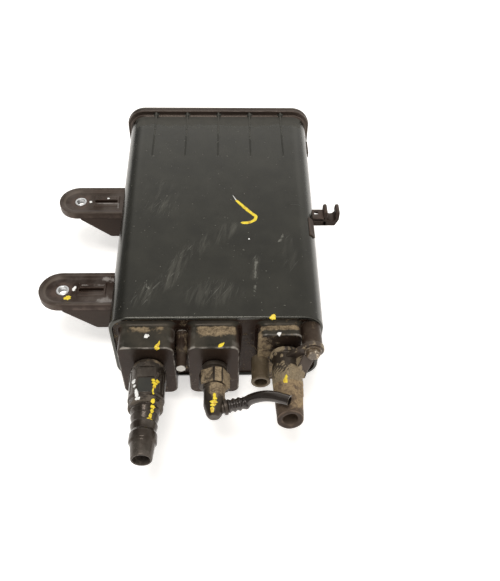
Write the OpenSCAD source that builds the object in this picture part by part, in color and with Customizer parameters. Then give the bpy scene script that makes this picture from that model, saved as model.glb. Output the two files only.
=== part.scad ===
// Charcoal canister of a fuel vapour system: a moulded box of activated
// carbon with two bolting ears, a pipe clip and three ports at its near end.
// Millimetres, +Z up, +X right, +Y towards the welded cover.
// The origin is in the middle of the case's flat underside.

/* [Case] */
// width of the case at its port end
case_w = 150; // [140:1:170]
// how much wider the case is at its cover end
taper = 9; // [4:1:14]
// length of the case from the port end to the weld flange
case_l = 233; // [215:1:260]
// height of the case
case_h = 72; // [68:1:84]
// radius of the four long edges
case_r = 14; // [11:1:17]
// wall of the case
wall = 2.8; // [2.2:0.1:3.4]
// thickness of the port end wall
end_wall = 3; // [2.4:0.2:4]
// how far the skin stands proud of the port end wall
end_step = 1.5; // [1:0.1:2]
// width of that proud skin
skin = 2.4; // [1.8:0.1:3]

/* [Weld flange and cover] */
// thickness of the case's weld flange
flange_t = 3; // [2.4:0.2:4]
// how far the flange stands out at the sides
lip_side = 3.5; // [2.5:0.5:6]
// how far the flange stands out on top
lip_top = 5.5; // [4:0.5:8]
// thickness of the cover plate
cover_t = 3; // [2.4:0.2:4]
// height of the cover's raised panel
cover_dish = 3; // [1:0.5:5]
// spacing of the gusset ribs on top
rib_pitch = 28; // [24:0.5:30]
// length of the gusset ribs
rib_l = 55; // [30:1:70]

/* [Ears] */
// distance between the two bolt holes
ear_pitch = 98; // [80:1:110]
// distance of the near ear from the port end
ear_y = 44.5; // [36:0.5:52]
// distance of the bolt holes from the case wall
ear_reach = 39.5; // [30:0.5:46]
// radius of an ear's round end
ear_r = 16; // [14:0.5:18]
// how far that round end's middle lies outside the bolt hole
ear_nose = 1.4; // [0:0.2:3]
// how far the ears' rims lie below the case top
ear_drop = 20.5; // [19:0.5:26]
// width of the ears' rim and skirt
ear_rim = 3.4; // [2.6:0.2:4.4]
// height of the rim above an ear's face
rim_h = 2; // [1:0.2:3]
// thickness of an ear's plate
ear_plate = 3; // [2.4:0.2:4]
// depth of an ear's skirt below its rim
ear_skirt = 6.6; // [6:0.2:10]
// how far an ear's gussets reach down from its rim
gusset_h = 27; // [18:1:32]
// outer diameter of the steel collars
collar_d = 9.6; // [9:0.2:11]
// bolt bore of the steel collars
collar_bore = 6.6; // [5.4:0.2:7.4]

/* [Pipe clip] */
// place of the clip along the case
clip_y = 116; // [104:1:126]
// length of the clip along the pipe
clip_l = 10; // [8:0.5:12]
// how far the clip's arm lies below the case top
clip_drop = 12; // [11:0.5:14]
// diameter of the pipe it holds
pipe_d = 7; // [6:0.5:8]
// distance of the pipe from the case wall
clip_reach = 14.6; // [14:0.2:18]
// thickness of the prongs
prong_t = 3; // [2.4:0.2:3.4]
// thickness below the pipe
clip_base = 5; // [4:0.2:6]
// thickness of the web that carries the prongs
clip_web = 4; // [3:0.2:6]
// height of the prongs above the pipe's centre
prong_h = 6.5; // [5:0.5:8]

/* [Port housings] */
// how far the port axes lie below the case top
port_drop = 29; // [27:0.5:32]
// depth of the tank and purge housings
housing_d = 20; // [16:0.5:24]
// depth of the vent housing
vent_d = 9.5; // [8:0.5:11]
// wall of the housings
housing_wall = 2.5; // [2:0.1:3]
// gap between the case top and the housings
housing_drop = 7.3; // [5.5:0.1:9]
// gap between the underside and the housings
housing_lift = 9; // [6:0.5:12]
// edge radius of the housings
housing_r = 6; // [4.5:0.5:7]
// middle and width of the tank housing
tank_x = -47.8; // [-49:0.1:-46]
tank_w = 38.5; // [36:0.5:40]
// middle and width of the purge housing
purge_x = -1.8; // [-3:0.1:0]
purge_w = 35.3; // [33:0.1:37]
// middle and width of the vent housing
vent_hx = 44.5; // [43:0.5:46]
vent_w = 31; // [29:0.5:33]
// the places of the three ports in their housings
tank_px = -46.8; // [-48:0.1:-46]
purge_px = -1.2; // [-2:0.1:0]
vent_x = 49; // [48:0.5:51]
// upward and outward lean of the tank port
tank_tilt = 5; // [0:0.5:8]
tank_yaw = 1; // [0:0.5:4]
// diameter and length of the locating peg
peg_d = 6; // [5:0.2:7]
peg_l = 27; // [18:1:32]
// diameter, bore and length of the drain nipple
nipple_d = 12.8; // [12:0.2:13.4]
nipple_bore = 9.2; // [8:0.2:10]
nipple_l = 18; // [14:1:22]

/* [Port spigots] */
// diameters of the tank, purge and vent spigots
tank_sp = 15.8; // [15:0.1:16.4]
purge_sp = 7.9; // [7.5:0.1:8.3]
vent_sp = 11.8; // [11.4:0.1:12.2]
// wall of the spigots
spigot_wall = 1.6; // [1.2:0.1:1.9]
// running gap between a spigot and its connector
spigot_gap = 0.15; // [0.1:0.05:0.25]
// height of the latching bead on a spigot
bead_h = 1.2; // [0.9:0.1:1.4]

/* [Tank connector] */
// outer diameter of the tank connector
tank_od = 24.5; // [24:0.1:26]
// length of its body
tank_body_l = 26; // [24:0.5:30]
// diameter of the fir-tree's barbs
barb_d = 18.2; // [17:0.1:18.8]
// diameter of the fir-tree's mouth
mouth_d = 13.8; // [13.2:0.1:14.6]
// flow bore of the fir-tree
tank_flow = 11; // [10:0.1:11.6]
// length of the fir-tree past the body
tree_l = 43; // [38:0.5:48]

/* [Purge connector] */
// width over corners of the hexagon
hex_w = 23.2; // [22:0.1:24]
// length of the hexagon and of the round collar before it
hex_l = 9; // [8:0.5:11]
hex_s = 5; // [4:0.5:6]
// outer diameter of the elbow's body
elbow_d = 14.4; // [13.8:0.1:15.4]
// length from the housing to the side branch
branch_s = 34.5; // [33:0.5:36]
// lean of the side branch back towards the case
branch_lean = 13; // [0:1:15]
// outer diameter of the nylon tube
tube_d = 7.4; // [7:0.1:8]
// wall of the nylon tube
tube_wall = 1; // [0.8:0.1:1.2]

/* [Vent connector] */
// outer diameter of the vent connector's body
vent_od = 20.8; // [20:0.1:21.4]
// outer diameter of its rim
vent_rim_d = 23; // [22.2:0.2:24]
// length of its body
vent_body_l = 26.5; // [25:0.5:29]
// bore of the rubber hose
hose_bore = 10.6; // [10:0.1:11.4]
// outer diameter of the hose at its root and at its cut end
hose_d = 20.6; // [19.6:0.2:21.6]
hose_end_d = 17.6; // [16.8:0.2:18.4]
// length of the hose stub
hose_l = 25.5; // [20:0.5:30]
// lean of its cut
hose_cut = 10; // [0:1:14]
// the fixing bolt's thread and width across flats
bolt_d = 5; // [4:0.5:5]
bolt_af = 8; // [7.5:0.5:9]
// diameter and length of the bolt boss
boss_d = 14; // [13:0.5:15]
boss_l = 17; // [15:0.5:19]
// thickness of the connector's bolting lug
lug_t = 3; // [2.4:0.2:3.6]

/* [Filling] */
// place and thickness of the wall between the two beds
split_x = 22; // [20.5:0.5:23]
split_t = 2.5; // [2:0.1:3]
// thickness of the pads at the ports and at the cover
pad_t = 6; // [4:0.5:8]
// thickness of the pressing plates
plate_t = 3; // [2:0.2:4]
// room for the springs behind the plates
spring_l = 24; // [18:1:30]
// spacing and size of the plates' square openings
grid_pitch = 12; // [11:0.5:14]
grid_hole = 7; // [6:0.5:8]
// wire and coil diameter of the springs
wire_d = 1.8; // [1.4:0.1:2.2]
coil_d = 26; // [20:1:30]
// gap between the filling and the walls
fill_gap = 0.3; // [0.2:0.1:0.6]

/* [Hidden] */
$fn = 48;
fit = 0.1;
eps = 0.01;
y_in = end_step + end_wall;
y_cover = case_l + flange_t;
y_plate = y_cover - spring_l;
y_pad2 = y_plate - plate_t;
y_bed2 = y_pad2 - pad_t;
y_bed1 = y_in + pad_t;
port_z = case_h - port_drop;
housing_h = case_h - housing_drop - housing_lift;
housing_z = housing_lift + housing_h / 2;
bolt_x = case_w / 2 - 9;
bolt_z = case_h - 12;
bolt_hole = bolt_d / 2 + 0.3;
insert_d = bolt_d + 2.5;
insert_l = 12;
sink = wall / 2;
nipple_x = vent_hx - vent_w / 2 + 2;
nipple_z = port_z - 10;
// stations along a spigot from its housing: ring, body, bead, seal, end
tank_st = [1.5, 5, 13, 18, 24];
purge_st = [1, 4, 11, 15, 20];
vent_st = [2, 5, 10, 14, 20];
vent_leg = [2, 3, 10];
bead_l = 1.8;
seal_room = 1.9;
seal_t = 2.2;
// inner radii of a connector: over the bead, over the spigot, at the seal
function r_bead(sp) = sp / 2 + bead_h + 0.5;
function r_slip(sp) = sp / 2 + spigot_gap;
function r_seal(sp) = sp / 2 + seal_room;
function half_w(y) = case_w / 2 + taper / 2 * y / case_l;
// the nylon tube's route, from the elbow's branch to its cut end
branch_r = elbow_d / 2 - 0.8;
branch_ring = 2.4;
branch_end = branch_r + branch_ring;
tube_start = [purge_px + cos(branch_lean) * branch_end,
  -housing_d - branch_s + sin(branch_lean) * branch_end, port_z];
tube_way = concat([for (t = [0:3.1:12.4]) [t * cos(branch_lean), t * sin(branch_lean), 0]],
  [[15.4, 3.8, 2.2], [20, 3.2, 6.2], [25.5, 1.9, 9.8], [31.2, 0.1, 11.8], [36.7, -2.2, 12.9],
    [40.6, -4.2, 13.6]]);
tube_bulge = [0.35, 0, 0.45, 0.05, 0.45, 0, 0, 0, 0, 0, 0];

// a rectangle with round corners about the origin
module rrect(w, h, r) {
  square([w - 2 * r, h], center = true);
  square([w, h - 2 * r], center = true);
  for (x = [-1, 1], y = [-1, 1])
    translate([x * (w / 2 - r), y * (h / 2 - r)])
      circle(r);
}

// moves the port end to its place
module near() {
  translate([0, -case_l / 2, 0])
    children();
}

// an outline in X and Z drawn out towards the ports, from y on
module towards_ports(y, l) {
  translate([0, y, 0])
    rotate([90, 0, 0])
      linear_extrude(l)
        children();
}

// the case's tapering form, inset all round
module loft(y1, y2, inset) {
  hull()
    for (y = [y1, y2 - eps])
      towards_ports(y + eps, eps)
        translate([0, case_h / 2])
          rrect(2 * (half_w(y) - inset), case_h - 2 * inset, case_r - inset, $fn = 32);
}

// the outline of the flange and the cover
module flange_outline(inset) {
  w = 2 * (half_w(case_l) + lip_side - inset);
  h = case_h + lip_top - 2 * inset;
  translate([0, (case_h + lip_top) / 2])
    rrect(w, h, case_r + 3 - inset);
}

// a port's own axes: x right, y up, z out of the housing
module port(x, d, tilt = 0, yaw = 0) {
  near()
    translate([x, -d, port_z])
      rotate([90 - tilt, 0, yaw])
        children();
}
module tank_port() {
  port(tank_px, housing_d, tank_tilt, tank_yaw)
    children();
}
module purge_port() {
  port(purge_px, housing_d)
    children();
}
module vent_port() {
  port(vent_x, vent_d)
    children();
}

// a spigot with its latching bead
module spigot(sp, st) {
  translate([0, 0, -housing_wall / 2])
    cylinder(d = sp, h = st[4] + housing_wall / 2 - 1);
  translate([0, 0, st[4] - 1])
    cylinder(d1 = sp, d2 = sp - 1.2, h = 1);
  rotate_extrude()
    polygon([[sp / 2 - 1, st[2] - 0.4], [sp / 2, st[2]], [sp / 2 + bead_h, st[2]],
      [sp / 2 + bead_h, st[2] + bead_l / 2], [sp / 2, st[2] + bead_l], [sp / 2 - 1, st[2] + bead_l]]);
}
module spigot_bore(sp, st) {
  translate([0, 0, -housing_wall - 2])
    cylinder(d = sp - 2 * spigot_wall, h = st[4] + housing_wall + 4);
}

// the inside of a connector, from its open end to the flow bore
module socket(sp, st) {
  translate([0, 0, st[1] - 5])
    cylinder(r = r_bead(sp), h = st[2] + bead_l + 1 - st[1] + 5);
  translate([0, 0, st[1]])
    cylinder(r = r_slip(sp), h = st[4] + 0.3 - st[1]);
  translate([0, 0, st[3]])
    cylinder(r = r_seal(sp), h = seal_t);
}

// a retainer: an outer ring and a sleeve that rests on the bead
module latch_ring(sp, st, ring_d) {
  rotate_extrude()
    polygon([[r_slip(sp), st[0]], [ring_d / 2 - 0.5, st[0]], [ring_d / 2, st[0] + 0.5],
      [ring_d / 2, st[1]], [r_bead(sp) - fit, st[1]], [r_bead(sp) - fit, st[2] - fit],
      [r_slip(sp), st[2] - fit]]);
}
// a leg of a retainer in a connector's side window
module latch_leg(sp, st, side, reach) {
  x = r_bead(sp) - 0.6;
  translate([side > 0 ? x : -x - reach, -3, st[1] + 3])
    cube([reach, 6, st[2] - st[1] - 4]);
}
module latch_window(sp, st, side, reach) {
  x = r_bead(sp) - 1;
  translate([side > 0 ? x : -x - reach, -3 - 2 * fit, st[1] + 3 - 2 * fit])
    cube([reach, 6 + 4 * fit, st[2] - st[1] - 4 + 4 * fit]);
}

// a rubber ring that fills its groove between spigot and connector
module seal(sp, st) {
  room = r_seal(sp) - sp / 2;
  translate([0, 0, st[3] + seal_t / 2])
    rotate_extrude($fn = 32)
      translate([sp / 2 + room / 2, 0])
        circle(d = room - 2 * 0.02, $fn = 12);
}

// a port housing's outline and its hollow
module housing(x, w, d) {
  towards_ports(end_step + 0.5, d + end_step + 0.5)
    translate([x, housing_z])
      rrect(w, housing_h, housing_r);
}
module housing_room(x, w, d) {
  towards_ports(y_in + 1, d - housing_wall + y_in + 1)
    translate([x, housing_z])
      rrect(w - 2 * housing_wall, housing_h - 2 * housing_wall, housing_r - housing_wall);
}

// one ear about its bolt hole, rim at z = 0, the case to the right
module ear() {
  end = ear_reach + sink;
  difference() {
    union() {
      difference() {
        ear_slab(0, end, ear_skirt);
        translate([0, 0, -rim_h])
          ear_slab(ear_rim, end + 1, rim_h + 1, rim_h + 1);
        translate([0, 0, -rim_h - ear_plate])
          ear_slab(ear_rim, end + 1, ear_skirt, 0);
      }
      translate([0, 0, -ear_skirt])
        cylinder(d = collar_d + 6, h = ear_skirt - rim_h);
      for (y = [-ear_r, ear_r - ear_rim])
        translate([0, y + ear_rim, 0])
          rotate([90, 0, 0])
            linear_extrude(ear_rim)
              polygon([[1, -ear_skirt + 1], [1, -ear_skirt - 1], [24, -gusset_h],
                [end, -gusset_h], [end, -ear_skirt + 1]]);
    }
    translate([0, 0, -ear_skirt - 1])
      cylinder(r = collar_d / 2 + fit / 2, h = ear_skirt + 2);
    translate([ear_reach - 27, -1.5, -rim_h - 1.2])
      cube([18, 3, 2]);
  }
}
// a slab of an ear's outline, from z = up down by h
module ear_slab(inset, end, h, up = 0) {
  r = ear_r - inset;
  translate([0, 0, up - h]) {
    translate([-ear_nose, 0, 0])
      cylinder(r = r, h = h);
    translate([-ear_nose, -r, 0])
      cube([end + ear_nose, 2 * r, h]);
  }
}
module at_ear(i) {
  near()
    translate([-half_w(ear_y) - ear_reach, ear_y + i * ear_pitch, case_h - ear_drop])
      children();
}

// the clip's outline in X and Z, from the case wall
module clip_outline() {
  r = pipe_d / 2;
  base = r + clip_base;
  difference() {
    union() {
      translate([clip_reach - r - prong_t, -base])
        polygon([[0, 0], [2 * r + prong_t, 0], [2 * r + 2 * prong_t, base - 2],
          [2 * r + 2 * prong_t, base + prong_h - 1], [0, base + prong_h - 1]]);
      for (s = [-1, 1])
        translate([clip_reach + s * (r + prong_t / 2), prong_h - 1])
          circle(d = prong_t, $fn = 24);
      translate([-sink, -1.5])
        square([clip_reach - r - 1 + sink, 2]);
    }
    translate([clip_reach, 0])
      circle(r);
    translate([clip_reach - r + 0.6, 0])
      square([2 * r - 1.2, prong_h + 3]);
  }
}
module pipe_clip() {
  near()
    difference() {
      translate([half_w(clip_y), clip_y + clip_l / 2, case_h - clip_drop])
        rotate([90, 0, 0]) {
          linear_extrude(clip_l)
            clip_outline();
          translate([-sink, -pipe_d / 2 - clip_base, clip_l - clip_web])
            cube([clip_reach - pipe_d / 2, clip_base, clip_web]);
        }
      translate([half_w(clip_y) + 2.4, clip_y + 1, case_h - clip_drop - 2])
        cylinder(d = 4.4, h = 4, $fn = 24);
    }
}

// ribs between the case top and the weld flange
module gusset_ribs() {
  near()
    for (i = [-2:2])
      translate([i * rib_pitch - 0.8, 0, 0])
        rotate([90, 0, 90])
          linear_extrude(1.6)
            polygon([[case_l - rib_l, case_h - sink], [case_l - rib_l, case_h + 0.3],
              [case_l - 7, case_h + 0.5], [case_l + flange_t / 2, case_h + lip_top - 0.8],
              [case_l + flange_t / 2, case_h - sink]]);
}

// small blocks on the right side: a rest below the clip, a lug at the flange
module side_blocks() {
  near() {
    translate([half_w(clip_y - 25) - case_r, clip_y - 33, case_h - case_r])
      rotate([0, -40, 0])
        translate([case_r - sink, 0, -3])
          cube([sink + 0.9, 19.5, 6]);
    translate([half_w(case_l - 29) - sink, case_l - 37, case_h - 18])
      cube([sink + 1.2, 16, 6]);
  }
}

module case_shell() {
  near() {
    difference() {
      loft(0, case_l, 0);
      loft(y_in, case_l + flange_t + 1, wall);
      towards_ports(end_step, end_step + 1)
        translate([0, case_h / 2])
          rrect(case_w - 2 * skin, case_h - 2 * skin, case_r - skin);
    }
    difference() {
      towards_ports(case_l + flange_t, flange_t)
        flange_outline(0);
      loft(y_in, case_l + flange_t + 1, wall);
    }
    intersection() {
      loft(y_in - 1, y_plate, sink);
      translate([split_x, y_in - 1, 0])
        cube([split_t, y_plate - y_in + 1, case_h]);
    }
    housing(tank_x, tank_w, housing_d);
    housing(purge_x, purge_w, housing_d);
    housing(vent_hx, vent_w, vent_d);
    // locating peg
    translate([(tank_x + tank_w / 2 + purge_x - purge_w / 2) / 2, end_step + 0.5, port_z + 7])
      rotate([90, 0, 0])
        cylinder(d = peg_d, h = peg_l + end_step + 0.5);
    // bolt boss
    translate([bolt_x, end_step + 0.5, bolt_z])
      rotate([90, 0, 0])
        cylinder(d = boss_d, h = boss_l + end_step + 0.5);
    // drain nipple
    translate([nipple_x, -vent_d + housing_wall / 2, nipple_z])
      rotate([90, 0, 0]) {
        cylinder(d = nipple_d, h = nipple_l + housing_wall / 2);
        translate([0, 0, nipple_l - 2])
          cylinder(d = nipple_d + 0.8, h = 2 + housing_wall / 2);
      }
  }
  tank_port()
    spigot(tank_sp, tank_st);
  purge_port()
    spigot(purge_sp, purge_st);
  vent_port()
    spigot(vent_sp, vent_st);
}

module case() {
  color([0.11, 0.11, 0.10]) {
    difference() {
      case_shell();
      near() {
        housing_room(tank_x, tank_w, housing_d);
        housing_room(purge_x, purge_w, housing_d);
        housing_room(vent_hx, vent_w, vent_d);
        translate([bolt_x, -boss_l - 1, bolt_z])
          rotate([-90, 0, 0])
            cylinder(r = insert_d / 2 + fit / 2, h = insert_l + 3);
        translate([nipple_x, -vent_d - nipple_l - 1, nipple_z])
          rotate([-90, 0, 0])
            cylinder(d = nipple_bore, h = nipple_l + housing_wall + 2);
      }
      tank_port()
        spigot_bore(tank_sp, tank_st);
      purge_port()
        spigot_bore(purge_sp, purge_st);
      vent_port()
        spigot_bore(vent_sp, vent_st);
    }
    pipe_clip();
    gusset_ribs();
    difference() {
      union() {
        for (i = [0, 1])
          at_ear(i)
            ear();
        side_blocks();
      }
      near()
        loft(y_in, case_l, wall - eps);
    }
  }
}

module end_cover() {
  color([0.12, 0.12, 0.11])
    near() {
      towards_ports(y_cover + cover_t, cover_t)
        flange_outline(0);
      towards_ports(y_cover + cover_t + cover_dish, cover_dish + eps)
        flange_outline(10);
      for (x = spring_xs())
        translate([x, y_cover, case_h / 2])
          rotate([90, 0, 0])
            difference() {
              cylinder(d = coil_d - wire_d - 1, h = 2);
              translate([0, 0, -eps])
                cylinder(d = coil_d - wire_d - 4, h = 3);
            }
    }
}

module ear_collar(i) {
  color([0.75, 0.76, 0.76])
    at_ear(i)
      translate([0, 0, -ear_skirt])
        difference() {
          cylinder(d = collar_d, h = ear_skirt - rim_h + 0.3);
          translate([0, 0, -1])
            cylinder(d = collar_bore, h = ear_skirt + 2);
        }
}
module ear_collar_near() {
  ear_collar(0);
}
module ear_collar_far() {
  ear_collar(1);
}

// fir-tree profile: barbs with a steep back and a slope to the mouth
function barb(s, root, top, l) = [[root, s], [top, s + 0.6], [top, s + 1.6], [root, s + l]];

module tank_connector() {
  s1 = tank_st[1];
  s2 = s1 + tank_body_l;
  s3 = s2 + tree_l;
  root = barb_d / 2 - 1.1;
  color([0.10, 0.10, 0.10])
    tank_port()
      difference() {
        union() {
          rotate_extrude()
            polygon(concat([[0, s1 + 6], [tank_od / 2 - 1, s1 + 6], [tank_od / 2 - 1, s1],
              [tank_od / 2 - 0.6, s1], [tank_od / 2, s1 + 0.6],
              [tank_od / 2, s2 - 0.5], [tank_od / 2 - 1.2, s2], [tank_od / 2 - 1.2, s2 + 1],
              [tank_od / 2 - 0.6, s2 + 1.4], [tank_od / 2 - 0.6, s2 + 5.4], [tank_od / 2 - 1.2, s2 + 6],
              [barb_d / 2 + 0.6, s2 + 6], [barb_d / 2 + 0.6, s2 + 8]],
              barb(s2 + 11, root, barb_d / 2 + 0.2, 5.5),
              barb(s2 + 17.5, root, barb_d / 2 - 0.2, 5.5),
              [[root, s2 + 23.5], [barb_d / 2, s2 + 25.5], [barb_d / 2, s2 + 31], [root, s2 + 32.4],
              [mouth_d / 2, s3 - 0.6], [mouth_d / 2 - 0.4, s3], [0, s3]]));
          translate([0, 0, s1])
            cylinder(d = tank_od - 1, h = 7);
        }
        socket(tank_sp, tank_st);
        translate([0, 0, tank_st[4]])
          cylinder(d = tank_flow, h = s3);
        // flat pad on top
        translate([-tank_od / 2, tank_od / 2 - 1.6, s1 + 4])
          cube([tank_od, 3, tank_body_l - 4.5]);
        for (s = [-1, 1])
          latch_window(tank_sp, tank_st, s, 4);
      }
}
module tank_retainer() {
  color([0.33, 0.29, 0.23])
    tank_port() {
      latch_ring(tank_sp, tank_st, tank_od - 3);
      for (s = [-1, 1])
        latch_leg(tank_sp, tank_st, s, 2.9);
    }
}
module tank_seal() {
  color([0.05, 0.05, 0.05])
    tank_port()
      seal(tank_sp, tank_st);
}

module purge_connector() {
  s1 = purge_st[1];
  s2 = s1 + hex_s + hex_l;
  s3 = branch_s + tube_d / 2 + 2.6;
  bx = branch_r;
  color([0.30, 0.26, 0.20])
    purge_port()
      difference() {
        union() {
          translate([0, 0, s1])
            cylinder(d = hex_w - 5.6, h = hex_s + 1);
          translate([0, 0, s1 + hex_s])
            intersection() {
              rotate(90)
                cylinder(d = hex_w, h = hex_l, $fn = 6);
              cylinder(d1 = hex_w - 1.4, d2 = hex_w + 6, h = hex_l);
            }
          translate([0, 0, s2 - 1])
            cylinder(d = elbow_d + 0.8, h = 4);
          translate([0, 0, s2])
            cylinder(d = elbow_d, h = s3 - s2 - 7);
          translate([0, 0, s3 - 7])
            cylinder(d1 = elbow_d, d2 = elbow_d - 3, h = 6);
          translate([0, 0, s3 - 1])
            cylinder(d1 = elbow_d - 3, d2 = elbow_d - 5, h = 1);
          translate([0, 0, branch_s])
            rotate([0, 90 + branch_lean, 0]) {
              cylinder(d = tube_d + 0.7, h = bx + 1.4);
              translate([0, 0, bx])
                cylinder(d = tube_d + 3.6, h = branch_ring);
              rotate_extrude()
                polygon(concat([[0, bx], [tube_r_in() - 0.5, bx]],
                  [for (i = [0:2]) each barb(bx + 3.6 + 4 * i, tube_r_in() - 0.5, tube_r_in() - fit, 3.6)],
                  [[0, bx + 15.2]]));
            }
        }
        socket(purge_sp, purge_st);
        translate([0, 0, purge_st[4]])
          cylinder(d = 5.6, h = branch_s + 2.5 - purge_st[4]);
        translate([0, 0, branch_s])
          rotate([0, 90 + branch_lean, 0])
            cylinder(d = 4.2, h = bx + 20);
        for (s = [-1, 1])
          latch_window(purge_sp, purge_st, s, 6);
      }
}
function tube_r_in() = tube_d / 2 - tube_wall;
module purge_retainer() {
  color([0.06, 0.06, 0.06])
    purge_port() {
      latch_ring(purge_sp, purge_st, hex_w - 5.2);
      for (s = [-1, 1])
        latch_leg(purge_sp, purge_st, s, 4);
    }
}
module purge_seal() {
  color([0.05, 0.05, 0.05])
    purge_port()
      seal(purge_sp, purge_st);
}

// a hollow tube swept along points, its rings square to the route
module sweep_tube(pts, ro, ri, n) {
  m = len(pts);
  dirs = [for (i = [0:m - 1]) unit(pts[min(i + 1, m - 1)] - pts[max(i - 1, 0)])];
  ring = function(i, r) let (u = unit(cross(dirs[i], [0, 0, 1])), v = cross(u, dirs[i]))
    [for (k = [0:n - 1]) pts[i] + r * (cos(360 * k / n) * u + sin(360 * k / n) * v)];
  outer = [for (i = [0:m - 1]) each ring(i, ro[i])];
  inner = [for (i = [0:m - 1]) each ring(i, ri / cos(180 / n))];
  o = m * n;
  walls = [for (i = [0:m - 2], k = [0:n - 1]) let (a = i * n + k, b = i * n + (k + 1) % n)
    each [[a, b, b + n], [a, b + n, a + n], [o + a, o + b + n, o + b], [o + a, o + a + n, o + b + n]]];
  e = (m - 1) * n;
  ends = [for (k = [0:n - 1]) let (b = (k + 1) % n)
    each [[k, o + k, o + b], [k, o + b, b],
      [e + k, e + b, o + e + b], [e + k, o + e + b, o + e + k]]];
  polyhedron(concat(outer, inner), concat(walls, ends));
}
function unit(v) = v / norm(v);

module purge_tube() {
  color([0.06, 0.06, 0.06])
    near()
      translate(tube_start)
        sweep_tube(tube_way, [for (b = tube_bulge) tube_d / 2 + b], tube_r_in(), 12);
}

module vent_connector() {
  s1 = vent_st[0];
  s2 = s1 + vent_body_l;
  dx = bolt_x - vent_x;
  dz = bolt_z - port_z;
  lug_s = boss_l - vent_d;
  color([0.42, 0.36, 0.27])
    vent_port()
      difference() {
        union() {
          translate([0, 0, s1])
            cylinder(d = vent_rim_d, h = 3.2);
          translate([0, 0, s1])
            cylinder(d = vent_od, h = vent_body_l);
          translate([0, 0, lug_s])
            hull() {
              cylinder(d = vent_od - 5, h = lug_t, $fn = 32);
              translate([dx, dz, 0])
                cylinder(d = boss_d + 1.6, h = lug_t, $fn = 32);
            }
          // web that carries the lug
          translate([0, 0, lug_s])
            rotate(atan2(dz, dx))
              rotate([90, 0, 0])
                translate([0, 0, -1.5])
                  linear_extrude(8)
                    polygon([[vent_od / 2 - 4.5, 0.5], [vent_od / 2 + 7.5, 0.5],
                      [vent_od / 2 + 7.5, lug_t - 0.4], [vent_od / 2 - 2.6, lug_t + 10]]);
          rotate_extrude()
            polygon(concat([[0, s2 - 1], [hose_bore / 2 - 0.8, s2 - 1]],
              [for (i = [0:1]) each barb(s2 + 3 + 5.5 * i, hose_bore / 2 - 0.8, hose_bore / 2 - fit, 5)],
              [[hose_bore / 2 - 1.2, s2 + 15], [0, s2 + 15]]));
        }
        socket(vent_sp, vent_st);
        translate([0, 0, vent_st[4]])
          cylinder(d = hose_bore - 4.2, h = s2);
        translate([dx, dz, lug_s - 1])
          cylinder(r = bolt_hole, h = lug_t + 2);
        latch_window(vent_sp, vent_leg, -1, 4);
      }
}
module vent_retainer() {
  color([0.07, 0.07, 0.07])
    vent_port() {
      latch_ring(vent_sp, [vent_st[0] - 1.2, vent_st[0], vent_st[2]], vent_rim_d - 4);
      latch_leg(vent_sp, vent_leg, -1, 3.2);
    }
}
module vent_seal() {
  color([0.05, 0.05, 0.05])
    vent_port()
      seal(vent_sp, vent_st);
}
module vent_hose() {
  s2 = vent_st[0] + vent_body_l;
  color([0.36, 0.31, 0.24])
    vent_port()
      translate([0, 0, s2])
        difference() {
          cylinder(d1 = hose_d, d2 = hose_end_d, h = hose_l + 2);
          translate([0, 0, -1])
            cylinder(d = hose_bore, h = hose_l + 4);
          translate([0, 0, hose_l])
            rotate([-hose_cut, 0, 0])
              translate([-hose_d, -hose_d, 0])
                cube([2 * hose_d, 2 * hose_d, hose_d]);
        }
}

module vent_bolt() {
  head_h = 0.7 * bolt_d;
  color([0.45, 0.36, 0.27])
    near()
      translate([bolt_x, -boss_l - lug_t, bolt_z])
        rotate([90, 0, 0]) {
          rotate(12)
            cylinder(r = bolt_af / 2 / cos(30), h = head_h + 1, $fn = 6);
          cylinder(d = bolt_af + 2, h = 1);
          translate([0, 0, -lug_t - insert_l + 1])
            cylinder(d = bolt_d, h = lug_t + insert_l);
        }
}
module bolt_insert() {
  color([0.72, 0.58, 0.30])
    near()
      translate([bolt_x, -boss_l, bolt_z])
        rotate([-90, 0, 0])
          difference() {
            cylinder(d = insert_d, h = insert_l);
            translate([0, 0, -1])
              cylinder(r = bolt_d / 2 + fit / 2, h = insert_l + 2);
          }
}

// a slice of the case's inside, on one side of the dividing wall
module slice(y1, y2, main) {
  near()
    intersection() {
      loft(y1, y2, wall + fill_gap);
      translate([main ? split_x - fill_gap - case_w : split_x + split_t + fill_gap, y1 - 1, 0])
        cube([case_w, y2 - y1 + 2, case_h]);
    }
}
module main_carbon() {
  color([0.03, 0.03, 0.03])
    slice(y_bed1, y_bed2, true);
}
module side_carbon() {
  color([0.03, 0.03, 0.03])
    slice(y_bed1, y_bed2, false);
}
module main_port_pad() {
  color([0.85, 0.84, 0.80])
    slice(y_in, y_bed1, true);
}
module side_port_pad() {
  color([0.85, 0.84, 0.80])
    slice(y_in, y_bed1, false);
}
module main_cover_pad() {
  color([0.85, 0.84, 0.80])
    slice(y_bed2, y_pad2, true);
}
module side_cover_pad() {
  color([0.85, 0.84, 0.80])
    slice(y_bed2, y_pad2, false);
}
// a pressing plate with a grid of square openings
module plate(main) {
  x1 = main ? wall - case_w / 2 : split_x + split_t;
  x2 = main ? split_x : case_w / 2 - wall;
  nx = floor((x2 - x1 - grid_pitch) / grid_pitch);
  nz = floor((case_h - 2 * wall - grid_pitch) / grid_pitch);
  difference() {
    slice(y_pad2, y_plate, main);
    near()
      for (i = [0:nx - 1], k = [0:nz - 1])
        translate([(x1 + x2) / 2 + (i - (nx - 1) / 2) * grid_pitch - grid_hole / 2, y_pad2 - 1,
          case_h / 2 + (k - (nz - 1) / 2) * grid_pitch - grid_hole / 2])
          cube([grid_hole, plate_t + 2, grid_hole]);
  }
}
module main_plate() {
  color([0.15, 0.15, 0.15])
    plate(true);
}
module side_plate() {
  color([0.15, 0.15, 0.15])
    plate(false);
}

// the springs share the width of their beds
function spring_xs() = let (side = half_w(case_l) - wall, main = split_x + side)
  [main / 4 - side, main * 3 / 4 - side, (split_x + split_t + side) / 2];
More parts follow.
